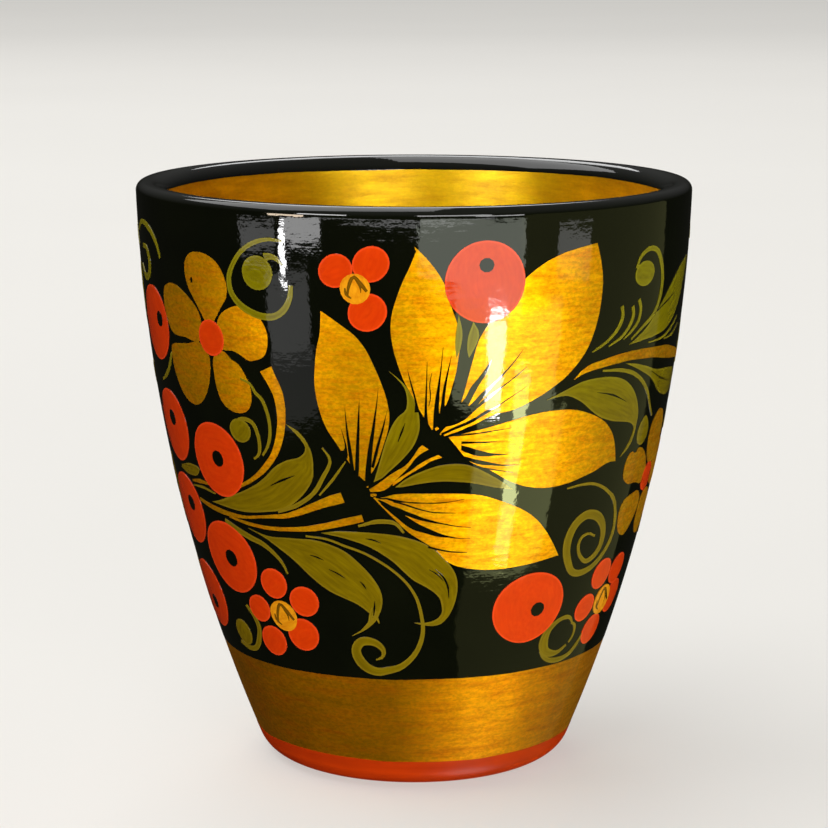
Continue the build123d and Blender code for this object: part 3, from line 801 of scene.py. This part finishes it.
green_leaves = Films("green_leaves_paint", lift=0.062, seed=24)
for one, other in (
    ([-8.6, 48.4, -6.8, 49, -5.2, 50, -3.5, 51, -2, 52, 0.1, 54, 1.1, 56, 1, 58, 0.2, 60, -0.6, 61, -1.5, 62,
      -2.7, 63, -5, 64.3],
     [-8.6, 48.4, -7.8, 50, -6.9, 52, -6, 54, -4.9, 56, -4.1, 57, -3.1, 57.9, -1.8, 58.6, -1.4, 59.5,
      -1.5, 61, -1.9, 62, -3.1, 63, -5, 64.3]),
    ([-54, 42.3, -50, 43, -46, 44, -42, 45, -38, 46.3, -34, 48, -31, 49.7, -28, 50.7, -25, 51.3, -24, 51.8,
      -23.3, 52.6, -23.9, 53.7, -25.3, 54.7, -27.5, 56],
     [-54, 42.3, -48, 42.1, -42, 42, -36, 42.5, -32, 43, -29, 43.8, -26, 45.2, -23.5, 47, -22.2, 48.5,
      -21.9, 50, -22, 52, -22.7, 53.3, -24.6, 55, -27.5, 56]),
    ([-42, 39.6, -36, 38.9, -30, 39.1, -24, 39.2, -20, 38.8, -16, 37.8, -13, 36.3, -11, 35, -9.5, 33.8,
      -8.3, 32.5, -7.7, 31, -7.8, 30, -8.5, 28.7, -9.7, 27.7],
     [-42, 39.6, -36, 38.3, -33, 37.2, -30, 36, -26, 33.8, -22, 32, -18, 30.9, -14, 29.9, -11.5, 28.8,
      -9.7, 27.7]),
    ([-21.5, 40.4, -18, 40.8, -14, 40.9, -8, 40.8, -4, 40.6, 0, 40, 3, 39.2, 5, 38.3, 7, 37, 8.7, 35.8,
      9.8, 34.7, 10.4, 33.3, 10.4, 31.5, 9.8, 29.8, 8.3, 28, 6.5, 27, 4.5, 26.8, 2.5, 26.9, 0, 27.3],
     [-21.5, 40.4, -16, 39.9, -12, 39.2, -8, 38, -5, 36.7, -2, 34.9, 0, 33.8, 3, 32.8, 5, 31.9, 6.3, 31,
      6.8, 29.8, 7.0, 29, 6.5, 28.2, 5, 27.6, 3, 27.3, 0, 27.3]),
    ([-4, 47.7, -2, 48.8, 0, 49.55, 4, 50.55, 8, 51, 11, 50.9, 13.5, 50.3, 17, 49, 22, 46.8],
     [-4, 47.7, -2, 47.8, 0, 48.1, 4, 48.5, 8, 48.45, 12, 48.2, 15, 47.8, 18, 47.3, 22, 46.8]),
    ([49.5, 65.7, 55, 67.5, 60, 70, 65, 72.7, 69, 74.5, 73, 75.7, 78, 76.3],
     [49.5, 65.7, 55, 66, 60, 66.2, 65, 66.7, 69, 67.9, 72.5, 70, 75.5, 73, 78, 76.3]),
    ([28, 59.4, 33, 60.6, 37, 61.5, 41, 61.7, 46, 61.4, 50, 60.5, 53, 59, 55.5, 57, 56.8, 55, 56.8, 53.5,
      55.9, 51, 54, 49.8, 52, 49.1],
     [28, 59.4, 33, 59.7, 37, 58.5, 40, 57, 43, 55.8, 46, 55.1, 50, 54.6, 54, 54, 55.9, 53.2, 55.1, 51.4,
      52, 49.1]),
    ([49, 63.1, 53, 62.7, 57, 62, 62, 61.1, 67, 60.7, 72, 60.3, 77, 59.6, 79.5, 58],
     [49, 63.1, 53, 62.1, 58, 60.7, 62, 59.3, 65, 57.8, 69, 56.7, 73, 56.3, 77, 56.7, 79.5, 58]),
    ([82, 60, 84, 63.5, 88, 67.5, 93, 71.8, 99, 75],
     [82, 60, 87, 61.4, 91, 63.5, 95, 66.6, 98, 70.2, 99, 75]),
    ([83, 34, 86, 37.2, 89, 39.2, 95, 42, 102, 47],
     [83, 34, 88, 33.8, 92, 34.3, 97, 36.6, 100.3, 40, 102, 47]),
    ([8.3, 66, 8, 68, 8.2, 70, 8.6, 72], [8.3, 66, 9.1, 67.5, 9.4, 69.5, 8.6, 72]),
    ([10.8, 66, 10.4, 67.3, 10.5, 68.8, 11.5, 71], [10.8, 66, 12, 67.5, 12.7, 69.4, 11.5, 71]),
):
    green_leaves.leaf(one, other)
green_leaves.blob([61, 54.4, 59, 53.4, 58.1, 52, 58.8, 50.6, 61, 50, 63, 50.7, 63.6, 52.2, 62.6, 53.5])
green_leaves.blob([-68, 46, -64, 46.9, -60, 47.2, -57, 46.8, -58, 46, -62, 45.4, -66, 45.6], rings=4)
green_leaves.piece(GREEN, "olive_green", "green_leaves")

green_curls = Films("green_curls_paint", lift=0.068, seed=25)
for points, widths in (
    ([-25.5, 39.7, -20, 39.5, -16, 38.7, -12, 37.9, -8, 36.6, -4, 34.8, -1, 32.8, 0.8, 30.8, 1.8, 28.5,
      2.3, 26.5, 2, 24.8, 0.9, 23, -1, 21.5, -4, 20.2, -7, 19.7, -10, 19.4, -13, 20, -15, 21.3, -15.5, 22.7,
      -14, 24, -11.5, 24.2, -9.3, 23.7, -8, 22.5, -8.5, 21.8, -10.2, 21.3],
     (0.25, 0.3, 0.35, 0.35, 0.35, 0.35, 0.4, 0.5, 0.65, 0.8, 1.1, 1.4, 1.6, 1.3, 0.9, 0.2)),
    ([-30, 79.2, -28.8, 79.4, -27.5, 79.2, -26, 78.3], (1.2, 0.8, 0.6, 0.2)),
    ([-26, 81.6, -29, 81.7, -32, 81.2, -35, 80, -37.5, 78, -38.8, 76, -38.5, 74, -37, 72.7, -34, 71.5,
      -31, 71, -28, 71.2, -26, 72.2, -24.7, 73.8, -24.3, 75.6],
     (0.3, 0.6, 0.7, 0.8, 0.9, 1.0, 1.0, 0.6)),
    ([-40.6, 54.3, -40, 55.6, -38, 56, -36, 55.6, -34.9, 54, -34.7, 52.5, -35.3, 51, -36.7, 50.3],
     (0.6, 0.6, 0.6, 0.55, 0.3)),
    ([-38, 61.8, -35.5, 61.2, -34.3, 60, -33, 59.3, -32, 57.8, -31.5, 56, -31.7, 54, -32.7, 52.3, -34.2, 51],
     (0.3, 0.5, 0.5, 0.5, 0.3)),
    ([-58, 20.3, -54, 19.8, -50, 20.3, -47.5, 22, -46.3, 24, -47.2, 25.5, -49.5, 27],
     (0.5, 0.8, 0.85, 0.8, 0.4)),
    ([-78, 80, -75, 81.2, -72, 81.5, -69, 81.1, -66, 80.2, -63.5, 78.5, -62.5, 77],
     (0.4, 0.7, 0.8, 0.8, 0.4)),
    ([-74, 78, -71, 77.8, -69.5, 76.3, -70, 74.5, -72, 73.5, -75, 73.7, -77, 75], (0.6, 0.9, 1.0, 0.9, 0.5)),
    ([-61.5, 63.5, -63.5, 61.5, -66, 60, -70, 58.7], (0.4, 0.6, 0.6, 0.3)),
    ([-32, 42.8, -26, 44.5, -22, 46.5, -20, 48.5, -18, 51.5, -19.5, 53], (0.3, 0.6, 0.65, 0.6, 0.5, 0.2)),
    ([-21, 46, -17.7, 48.4, -14.5, 51.2], (0.25, 0.4, 0.2)),
    ([-12.5, 41.8, -8, 42.6, -4, 42.3, -2.3, 41], (0.3, 0.6, 0.6, 0.3)),
    ([-50, 40, -46, 39, -42, 38.2, -38, 37.5, -35, 36.3, -33, 35, -32, 33.5],
     (0.5, 0.9, 0.9, 0.8, 0.7, 0.5, 0.3)),
    ([-62, 43.9, -57, 44.1, -52, 43.7], (0.2, 0.4, 0.2)),
    ([-10, 29.4, -10.8, 28.2, -11.3, 27.2, -12.2, 26.6, -13.7, 25.8], (0.7, 0.6, 0.4, 0.3, 0.1)),
    ([-9, 29, -9.6, 28.1, -10.6, 27.2, -12.2, 26.3, -14, 25.6, -16.2, 24.9], (0.7, 0.6, 0.4, 0.3, 0.2, 0.08)),
    ([-9.8, 28.2, -9.2, 27.8, -8.8, 27.1], (0.4, 0.35, 0.12)),
    ([49.8, 76.5, 51, 78, 54, 79, 57, 78.6, 59.5, 76.5, 60.5, 74, 60, 71.5, 58, 69.5, 54, 68, 50, 66.5],
     (0.4, 0.7, 0.8, 0.8, 0.8, 0.7, 0.5, 0.25)),
    ([46, 71.5, 46.5, 70, 45.5, 68.5, 43, 67, 38.5, 65.5], (0.6, 0.6, 0.5, 0.4, 0.2)),
    ([49.5, 71.2, 50, 70, 49, 68.5, 47, 67.2, 43, 66], (0.6, 0.6, 0.5, 0.4, 0.2)),
    ([51.5, 72, 52.3, 71, 52, 69, 50, 67.7, 47.5, 66.7], (0.6, 0.6, 0.5, 0.4, 0.2)),
    ([57, 65.4, 64, 65.6, 70, 66.8, 73, 67.8], (0.2, 0.35, 0.35, 0.2)),
    ([65, 65.2, 70, 65.4, 75, 66.5], (0.2, 0.35, 0.2)),
    ([42, 62.6, 48, 62.2, 53, 61.2, 57, 59.6, 60, 57.8, 62.5, 55.5, 64.5, 54], (0.3, 0.6, 0.6, 0.3)),
    ([36, 46, 40, 46.2, 44, 46, 47, 45.3, 50, 44.2, 52.5, 43, 54, 41.7, 55.2, 40, 55.8, 38, 55.3, 36.3,
      54, 35, 51.5, 33.6, 49, 32.8, 47, 32.5, 44, 32.5, 42, 33, 40.5, 34.2, 39, 36.2, 38.8, 38, 39.5, 39.5,
      41, 40.7, 43.5, 41.4, 46, 41.2, 48.5, 40.4, 50.5, 39, 51.4, 37.2, 51.2, 36, 50, 34.9, 48, 34.2,
      46.5, 34.1, 44.5, 34.8, 43, 36, 42.6, 37, 43.2, 38, 45, 38.4, 48, 37.8],
     (0.25, 0.4, 0.5, 0.6, 0.65, 0.75, 0.85, 0.95, 1.05, 1.3, 1.5, 1.5, 1.4, 1.1, 0.9, 0.6, 0.5, 0.3)),
    ([47, 24.6, 45.5, 25.5, 43, 25.7, 40.5, 25.2, 38.4, 24.2, 37.5, 22.6, 38.6, 21, 41, 20.3, 44, 20.2,
      47, 21],
     (0.3, 0.7, 0.7, 1.2, 1.7, 1.3, 0.7, 0.4)),
    ([47, 24.5, 48.3, 24.1, 49, 23.3, 48.9, 22.2, 47.8, 21.3], (0.4, 0.5, 0.4, 0.3)),
    ([37, 21, 38.5, 20, 40, 19.5, 45, 18.9, 50, 19.5, 53, 21.3, 54, 22.5], (0.4, 0.7, 0.8, 0.8, 0.7, 0.3)),
    ([84, 78.3, 88, 80, 93, 80.3, 97, 79.3, 99.5, 77.6], (0.3, 0.7, 0.8, 0.7, 0.3)),
    ([86.5, 28.6, 88.5, 30, 92, 30.4, 95.6, 29.5, 97.8, 27, 97.5, 24, 95, 21.9, 91, 21.2, 87.5, 22.2],
     (0.3, 0.7, 0.8, 0.9, 0.9, 0.8, 0.4)),
    ([83.5, 50, 86.5, 52.6, 90, 54.9, 94.5, 57.3, 99.5, 60.3], (0.5, 0.8, 0.9, 0.8, 0.4)),
):
    green_curls.stroke(points, widths)
green_curls.disc((-31.8, 77), 2.5, 2.4)
green_curls.disc((-39.7, 54.2), 1.95, 1.75)
green_curls.disc((-54.5, 22.2), 1.95, 2.0)
green_curls.disc((53, 75.6), 2.45, 1.8)
green_curls.disc((92.5, 26.2), 1.8)
green_curls.piece(GREEN, "olive_green", "green_curls")

# each is centre, radius across and height up, place of the eye, radius of the eye
BERRIES = (
    ((-69.5, 67.2), 5.45, 5.45, (-66, 68), 1.15),
    ((-67.5, 52.3), 5.3, 5.3, (-67.3, 53.4), 1.2),
    ((-68.5, 39.7), 5.3, 5.3, (-66.3, 40.7), 1.2),
    ((-70, 26.4), 5.1, 5.1, (-69.3, 25.2), 1.1),
    ((-48.7, 49.1), 5.5, 5.45, (-48.3, 49.3), 1.2),
    ((-51.5, 34.2), 5.75, 5.4, (-50.8, 34.1), 1.3),
    ((30.5, 28.4), 5.9, 5.4, (33, 28), 1.1),
    ((13.8, 76.4), 5.6, 5.65, (13.9, 78.7), 1.0),
)

red_berries = Films("red_berries_paint", lift=0.078, seed=26)
berry_eyes = Films("berry_eyes_paint", lift=0.1, seed=27)
for centre, across, high, eye, eye_radius in BERRIES:
    red_berries.disc(centre, across, high, rings=9)
    berry_eyes.disc(eye, eye_radius * 1.05, eye_radius, rings=3)
red_berries.piece(RED, "vermilion", "red_berries")
berry_eyes.piece(BLACK, "black_lacquer", "berry_eyes")

# each is centre, radius of the stamp, and petals as (centre, radius)
RED_FLOWERS = (
    ((-11.3, 75.5), 2.1, (((-15.1, 77.9), 2.4), ((-8.2, 78.9), 2.55), ((-9, 72.3), 2.7))),
    ((-35.8, 26.7), 2.35, (((-37, 31.6), 2.4), ((-28.5, 29.5), 2.4), ((-44, 27.1), 2.15),
     ((-30.5, 24.2), 2.6), ((-41.3, 22.3), 2.4))),
    ((59.6, 26.7), 2.3, (((55.3, 31.2), 2.4), ((64, 31), 2.4), ((51.1, 26.4), 2.15), ((57.7, 22.3), 2.35),
     ((66, 26.5), 2.6))),
)
# dabs round a flower's middle: places as shares of the stamp's radius, and widths in mm
STAMP_MARKS = (
    (((-0.5, -0.5), (-0.42, 0.1), (-0.05, 0.78), (0.3, 0.42), (0.78, -0.15)), (0.25, 0.45, 0.5, 0.6, 0.4)),
    (((-0.66, 0.05), (-0.6, -0.35), (-0.25, -0.62)), (0.2, 0.4, 0.2)),
    (((0.12, 0.45), (0.36, 0.1), (0.38, -0.25)), (0.15, 0.3, 0.1)),
)

red_petals = Films("red_petals_paint", lift=0.072, seed=28)
amber_stamps = Films("amber_stamps_paint", lift=0.088, seed=29)
stamp_marks = Films("stamp_marks_paint", lift=0.104, seed=30)
for centre, radius, petals in RED_FLOWERS:
    for place, size in petals:
        red_petals.disc(place, size, size * 0.97, rings=5, lean=0.08)
    amber_stamps.disc(centre, radius, rings=5)
    x, z = centre
    scale = degree_length(z)
    for mark, widths in STAMP_MARKS:
        line = [(x + radius * across / scale, z + radius * up) for across, up in mark]
        stamp_marks.stroke(line, widths)
red_petals.piece(RED, "vermilion", "red_petals")
amber_stamps.piece(AMBER, "amber", "amber_stamps")
stamp_marks.piece(UMBER, "amber")

flower_hearts = Films("flower_hearts_paint", lift=0.09, seed=31)
flower_hearts.disc((-45.3, 67.05), 2.6, rings=4)
flower_hearts.disc((69.8, 44.3), 2.2, rings=4)
flower_hearts.piece(RED, "vermilion", "flower_hearts")

black_gaps_and_shadow_dot = Films("black_gaps_and_shadow_dot_paint", lift=0.098, seed=32)
for one, other in (
    ([-9, 46.45, -7.4, 46.1, -6, 46.15, -4, 45.9, -2, 45.7, 0, 45.55, 4, 45.45, 8, 45.6, 11, 45.9],
     [-9, 46.4, -7.4, 45.9, -6.2, 45.95, -4.4, 45.6, -2, 45.5, 0, 45.38, 4, 45.3, 8, 45.5, 11, 45.85]),
    ([-7.8, 45.9, -6.3, 45.5, -4.8, 44.95, -3, 44.6, -1.6, 44.2, 0, 43.85, 2, 43.25, 4, 42.8, 7, 42.3,
      10, 41.9, 12.8, 41.65],
     [-7.8, 45.7, -6.6, 45, -5.2, 44.3, -3.6, 43.9, -1.8, 43.6, 0, 43.2, 2, 42.8, 4, 42.5, 7, 42.1, 10, 41.78,
      12.8, 41.6]),
    ([-7.2, 45.4, -5, 44.5, -3.2, 44.1, -1.7, 43.5, 0, 42.75, 2, 42, 4, 41.4, 6, 40.85, 8, 40.45, 10.5, 40.1,
      12.8, 40],
     [-7.2, 45.2, -5.6, 44.25, -4, 43.4, -2, 42.25, 0, 41.4, 2, 41, 4, 40.65, 6, 40.4, 8, 40.2, 10.5, 40,
      12.8, 39.97]),
    ([-17, 53.4, -14.9, 52.6, -14.4, 53.4, -14.7, 54.6, -15.1, 56],
     [-15.5, 51, -14.2, 51.5, -14, 53, -14.5, 54.6, -15.1, 56]),
    ([-13.2, 49, -13.6, 51.4, -13.8, 53, -14, 55, -14.1, 59],
     [-12.6, 49, -12.8, 50.8, -13.1, 53, -13.6, 55.5, -14.1, 59]),
    ([-12.8, 48.4, -12.5, 50.2, -12.3, 52, -12, 54, -11.7, 56, -11.4, 58, -11, 60.3],
     [-12.2, 47.8, -11.7, 50, -11.5, 52, -11.35, 54, -11.2, 56, -11.1, 58, -11, 60.3]),
    ([-10.6, 47.6, -10.3, 49.8, -9.85, 52, -9.3, 54, -8.65, 56, -8.05, 58, -7.5, 60, -7.1, 62],
     [-9.2, 48, -9.05, 50.2, -8.8, 52, -8.45, 54, -8.05, 56, -7.7, 58, -7.35, 60, -7.1, 62]),
    ([-9, 50.6, -8.45, 52, -7.6, 54, -6.6, 56, -5.9, 57.6, -5.3, 59],
     [-8.5, 50.4, -7.8, 52, -7.05, 54, -6.2, 56, -5.75, 57.6, -5.3, 59]),
    ([0.1, 58.5, 0.2, 60, -0.15, 61, -0.9, 63, -1.3, 64.6],
     [1.2, 58.5, 0.55, 60, 0.2, 61, -0.65, 63, -1.3, 64.6]),
    ([1.9, 56.5, 2.1, 58.3, 2.2, 60, 2.35, 62, 2.45, 64, 2.55, 65.6],
     [3.0, 56.5, 2.7, 58, 2.6, 60, 2.6, 62, 2.6, 64, 2.6, 65.6]),
    ([3.9, 56.3, 3.95, 58, 4.2, 60, 4.65, 62, 5.1, 64, 5.65, 67.6],
     [5.4, 56.8, 5, 58.8, 5.05, 60, 5.15, 62, 5.35, 64, 5.7, 67.6]),
    ([5, 57.5, 5.3, 59, 5.5, 60, 5.85, 62, 6.5, 64, 7.4, 66.6],
     [6.6, 57.5, 6.2, 59, 6.15, 60, 6.4, 62, 6.8, 64, 7.4, 66.6]),
    ([8, 59.4, 9.9, 60, 10.75, 61, 11.5, 62, 12.7, 63, 14, 64.2, 15.5, 65.8],
     [10.5, 58.8, 11.2, 59.7, 12.1, 61, 12.9, 62, 13.8, 63, 14.7, 64.1, 15.5, 65.8]),
    ([9.8, 58.8, 11.2, 59.3, 12.3, 60, 13.6, 61, 15, 61.9, 17.8, 63.55, 20.5, 65.6, 22, 66.9],
     [11.6, 58.2, 12.6, 59.2, 13.6, 60, 14.7, 60.9, 16, 61.9, 17.95, 63.35, 20.6, 65.45, 22, 66.9]),
    ([10.4, 58.4, 12.3, 59.1, 14.2, 60.2, 15.8, 60.95, 17.5, 61.7, 21.2, 63.5, 23, 64.4],
     [10.9, 57.8, 12.4, 58.65, 14.2, 59.55, 15.9, 60.5, 17.6, 61.5, 21.3, 63.35, 23, 64.4]),
    ([5.6, 55.5, 8, 56.25, 11.4, 57.2, 14.6, 58.45, 17, 59.1, 19, 59.95, 23.5, 61.7],
     [5.6, 55.2, 8, 55.85, 11.4, 56.8, 14.6, 58, 17, 58.85, 19, 59.8, 23.5, 61.7]),
    ([8.4, 55.15, 10, 55.25, 14.6, 55.5, 18, 55.7, 20.5, 55.85],
     [8.4, 55.05, 10, 55.05, 14.6, 55.35, 18, 55.6, 20.5, 55.83]),
    ([9.8, 54.25, 11.5, 54.2, 14, 54.1, 17, 54.05, 19.7, 54.05],
     [9.8, 53.9, 11.5, 53.9, 14, 53.9, 17, 53.97, 19.7, 54.03]),
    ([9.8, 53.7, 11.5, 53.4, 13, 53, 15, 52.6, 17.5, 52.25, 20, 52.1],
     [9.8, 53, 11, 52.6, 12.5, 52.2, 14.5, 52, 17, 51.95, 20, 52.05]),
    ([10.6, 52.1, 12.5, 51.7, 14, 51.4, 16, 51.1, 18, 50.75, 20.5, 50.5, 23, 50.45],
     [10.8, 51.7, 12.5, 51.1, 14, 50.85, 16, 50.6, 18, 50.45, 20.5, 50.4, 23, 50.43]),
):
    black_gaps_and_shadow_dot.leaf(one, other, across=4)
for points, widths in (
    ([9.2, 43.85, 6, 43.95, 4, 44.05, 2, 44.35, 0, 44.75, -2, 45.2, -4.5, 45.6],
     (0.05, 0.12, 0.15, 0.18, 0.2, 0.22, 0.2)),
    ([12.3, 37.9, 10, 38, 8, 38.15, 5.5, 38.5, 3.2, 38.9], (0.05, 0.15, 0.2, 0.25, 0.3)),
    ([3.5, 64, 3.1, 62.4, 3.3, 60.6, 2.95, 59.3], (0.05, 0.12, 0.14, 0.05)),
    ([21.5, 49.35, 19, 49.7, 17, 49.95, 15, 50.25], (0.05, 0.14, 0.16, 0.2)),
    ([-9.6, 30.6, -9.8, 29.4, -10.1, 28.3], (0.05, 0.3, 0.1)),
    ([-3.3, 54.3, -2.5, 55.7, -1.8, 57], (0.1, 0.3, 0.05)),
    ([-33, 46.7, -29.8, 47.7, -26.5, 48.6], (0.1, 0.35, 0.05)),
    ([-25, 36.9, -23.3, 36.7, -21.5, 36.3], (0.05, 0.25, 0.05)),
    ([-20.5, 35, -18.5, 34.5, -16.5, 33.8], (0.05, 0.25, 0.05)),
    ([-13, 33.5, -12.2, 33, -11.5, 32.3], (0.05, 0.25, 0.05)),
    ([-11, 40, -9, 39.8, -7.5, 39.4], (0.05, 0.25, 0.05)),
    ([5, 35.5, 6.8, 34.4, 8, 33, 8.5, 31], (0.05, 0.25, 0.3, 0.05)),
    ([3.5, 35.5, 5.5, 34.7, 7, 33.7], (0.05, 0.2, 0.05)),
    ([58, 69.4, 63, 70.6, 68, 71.6], (0.05, 0.25, 0.05)),
    ([41, 59.6, 46, 58.8, 51, 57.4], (0.05, 0.3, 0.05)),
    ([60, 61, 66, 59.4, 72, 58.4], (0.05, 0.25, 0.05)),
    ([86, 63.6, 91, 67.5, 95.5, 71.5], (0.05, 0.3, 0.05)),
    ([87, 35.8, 93, 38, 98, 42], (0.05, 0.3, 0.05)),
):
    black_gaps_and_shadow_dot.stroke(points, widths, across=3)
# A dark dot on the top gold petal at azimuth -50: a painted shadow of a small raised drop of paint.
black_gaps_and_shadow_dot.disc((-50, 74.9), 0.25, 0.42, rings=2)
black_gaps_and_shadow_dot.piece(BLACK, "black_lacquer")

# ---------------------------------------------------------------- studio, in metres

FLOOR_SINK = 5e-5  # so that the foot and the floor share no surface
COVE = ((0.5, 0), (2, 0), (4.2, 0), (5, 0.06), (5.6, 0.25), (6, 0.6), (6.2, 1.1), (6.25, 2.2))
COVE_SIDES = 72
LENS = 119.0
CAMERA_PLACE = (0.0, -0.4034, 0.1257)
CAMERA_TILT = math.radians(79.527)
LAMP_LEVEL = 0.05  # height round which the lamps stand
WINDOW_LEVEL = 0.06  # height from which the windows' levels are taken
WHITE = (1, 1, 1)
SKY = ((0.0, (0.012, 0.012, 0.01, 1)), (0.7, (0.22, 0.22, 0.22, 1)))  # (how far up, colour)
SKY_STRENGTH = 0.9


def pale_paper():
    """The floor's pale paper, which also glows a little, so that it stays pale far from the lights."""
    nodes = Nodes("pale_floor")
    colour = nodes.ramp(nodes.noise(3, detail=2), (0.3, srgb(157, 155, 151)), (0.7, srgb(160, 158, 154)))
    nodes.set(Base_Color=colour, Roughness=0.9, Emission_Color=srgb(226, 224, 219), Emission_Strength=0.62)
    return nodes.material


def cove():
    """A round floor that curves up at its edge: a middle point, and rings of (radius, height)."""
    points = [(0, 0, -FLOOR_SINK)]
    faces = [(0, 1 + i, 1 + (i + 1) % COVE_SIDES) for i in range(COVE_SIDES)]
    for ring, (radius, height) in enumerate(COVE):
        for i in range(COVE_SIDES):
            angle = 2 * math.pi * i / COVE_SIDES
            points.append((radius * math.cos(angle), radius * math.sin(angle), height - FLOOR_SINK))
            if ring:
                here = 1 + ring * COVE_SIDES + i
                there = 1 + ring * COVE_SIDES + (i + 1) % COVE_SIDES
                faces.append((here - COVE_SIDES, here, there, there - COVE_SIDES))
    return solid("floor", points, faces)


floor = cove()
floor.data.shade_smooth()
floor.data.materials.append(pale_paper())
floor.visible_glossy = False
floor.visible_diffuse = False
floor.visible_shadow = False

camera = put("camera", bpy.data.cameras.new("camera"))
camera.data.lens = LENS
camera.data.sensor_width = 36.0
camera.data.clip_start = 0.01
camera.data.clip_end = 50.0
camera.location = CAMERA_PLACE
camera.rotation_euler = (CAMERA_TILT, 0.0, 0.0)
scene.camera = camera


def area_light(name, place, target, width, height, radiance, colour=WHITE):
    """A panel light of a size in metres; its radiance is what a mirror in front of it shows."""
    data = bpy.data.lights.new(name, "AREA")
    data.shape = "RECTANGLE"
    data.size = width
    data.size_y = height
    data.energy = radiance * width * height * math.pi
    data.color = colour
    lamp = put(name, data)
    lamp.location = place
    lamp.rotation_euler = (Vector(target) - Vector(place)).to_track_quat("-Z", "Y").to_euler()


def seen_in_side(name, azimuth, height, distance, width, tall, radiance, colour=WHITE):
    """A panel light that the camera sees mirrored in the side at a chart place."""
    point, normal = on_side(np.array([float(azimuth)]), np.array([float(height)]), np.array([0.0]))
    point = Vector(point[0])
    normal = Vector(normal[0])
    ray = (point - camera.location).normalized()
    ray -= 2 * ray.dot(normal) * normal
    area_light(name, point + ray * distance, point, width, tall, radiance, colour)


def from_round(azimuth, elevation, distance):
    """A place round the cup: azimuth 0 is the camera's side and grows to the right."""
    around = math.radians(azimuth)
    above = math.radians(elevation)
    out = distance * math.cos(above)
    return (out * math.sin(around), -out * math.cos(around), LAMP_LEVEL + distance * math.sin(above))


def pane(name, bearing, distance, left, right, low, high, radiance, colour=WHITE):
    """An upright panel across a bearing, its sides and levels given in degrees as seen from the cup."""
    around = math.radians(bearing)
    out = Vector((math.sin(around), -math.cos(around), 0.0))
    aside = Vector((math.cos(around), math.sin(around), 0.0))
    left, right, low, high = (distance * math.tan(math.radians(side)) for side in (left, right, low, high))
    middle = Vector((0, 0, WINDOW_LEVEL + (low + high) / 2)) + aside * ((left + right) / 2)
    area_light(name, middle + out * distance, middle, right - left, high - low, radiance, colour)


def window(name, bearing, breadth, low, high, distance, radiance, colour=WHITE):
    """A pane as far to the left of its bearing as to the right."""
    pane(name, bearing, distance, -breadth / 2, breadth / 2, low, high, radiance, colour)


pane("window_right_0", 38, 1.2, -36, 7, -16.5, -8, 2.55, (0.93, 1.0, 0.84))
pane("window_right_1", 38, 1.2, -21, 26, -26.5, -16.5, 2.35, (0.93, 1.0, 0.6))
pane("window_right_2", 38, 1.2, -10, 33, -40.5, -26.5, 1.65, (0.93, 1.0, 0.45))
window("window_sill", -3, 70, -9.25, -8.5, 1.25, 2.8)
window("window_right_high", 16, 30, 5, 18, 1.2, 7.8)
window("window_left", -46, 17, -10.6, -8, 1.2, 6)
window("window_left_edge", -54.3, 2.6, -13.5, -9, 1.2, 34)
window("window_left_high", -37, 20, 5, 15, 1.2, 15)
window("window_left_low", -53, 19, -20, -13, 1.15, 0.9)
window("window_left_faint", -53, 21, -26, -20, 1.15, 0.35)
window("window_far_left", -66, 16, -10.8, -8.5, 1.2, 1.4)
window("window_far_right", 68, 16, -13, -9, 1.2, 1.4)
area_light("room_right", from_round(85, -31, 1.8), (0, 0, LAMP_LEVEL), 3.2, 2.3, 0.2, (1.0, 1.0, 0.4))
window("key_right", 34, 20, -3, 4, 1.4, 9)
window("key_left", -52, 16, -7, -1, 1.4, 18, (1.0, 0.8, 0.6))
window("window_back", 184, 34, 30, 52, 2.4, 4)
seen_in_side("bar_centre", 16.2, 65.2, 0.6, 0.072, 0.1, 42)
seen_in_side("bar_right", 21.5, 50, 0.6, 0.07, 0.2, 14, (0.94, 1, 0.45))
area_light("band_glow", from_round(80, -70, 0.6), (0, 0, 0.01), 0.24, 0.16, 3.6)
area_light("top", (-1.1, 0.3, 2.5), (0, 0.3, 0), 3.0, 3.0, 2.8)

world = bpy.data.worlds.new("studio")
world.use_nodes = True
scene.world = world
tree = world.node_tree
background = tree.nodes["Background"]
direction = tree.nodes.new("ShaderNodeTexCoord")
split = tree.nodes.new("ShaderNodeSeparateXYZ")
ramp = tree.nodes.new("ShaderNodeValToRGB")
tree.links.new(direction.outputs["Generated"], split.inputs[0])
tree.links.new(split.outputs["Z"], ramp.inputs["Fac"])
tree.links.new(ramp.outputs["Color"], background.inputs["Color"])
for element, (position, colour) in zip(ramp.color_ramp.elements, SKY):
    element.position = position
    element.color = colour
background.inputs["Strength"].default_value = SKY_STRENGTH

scene.view_settings.view_transform = "Standard"
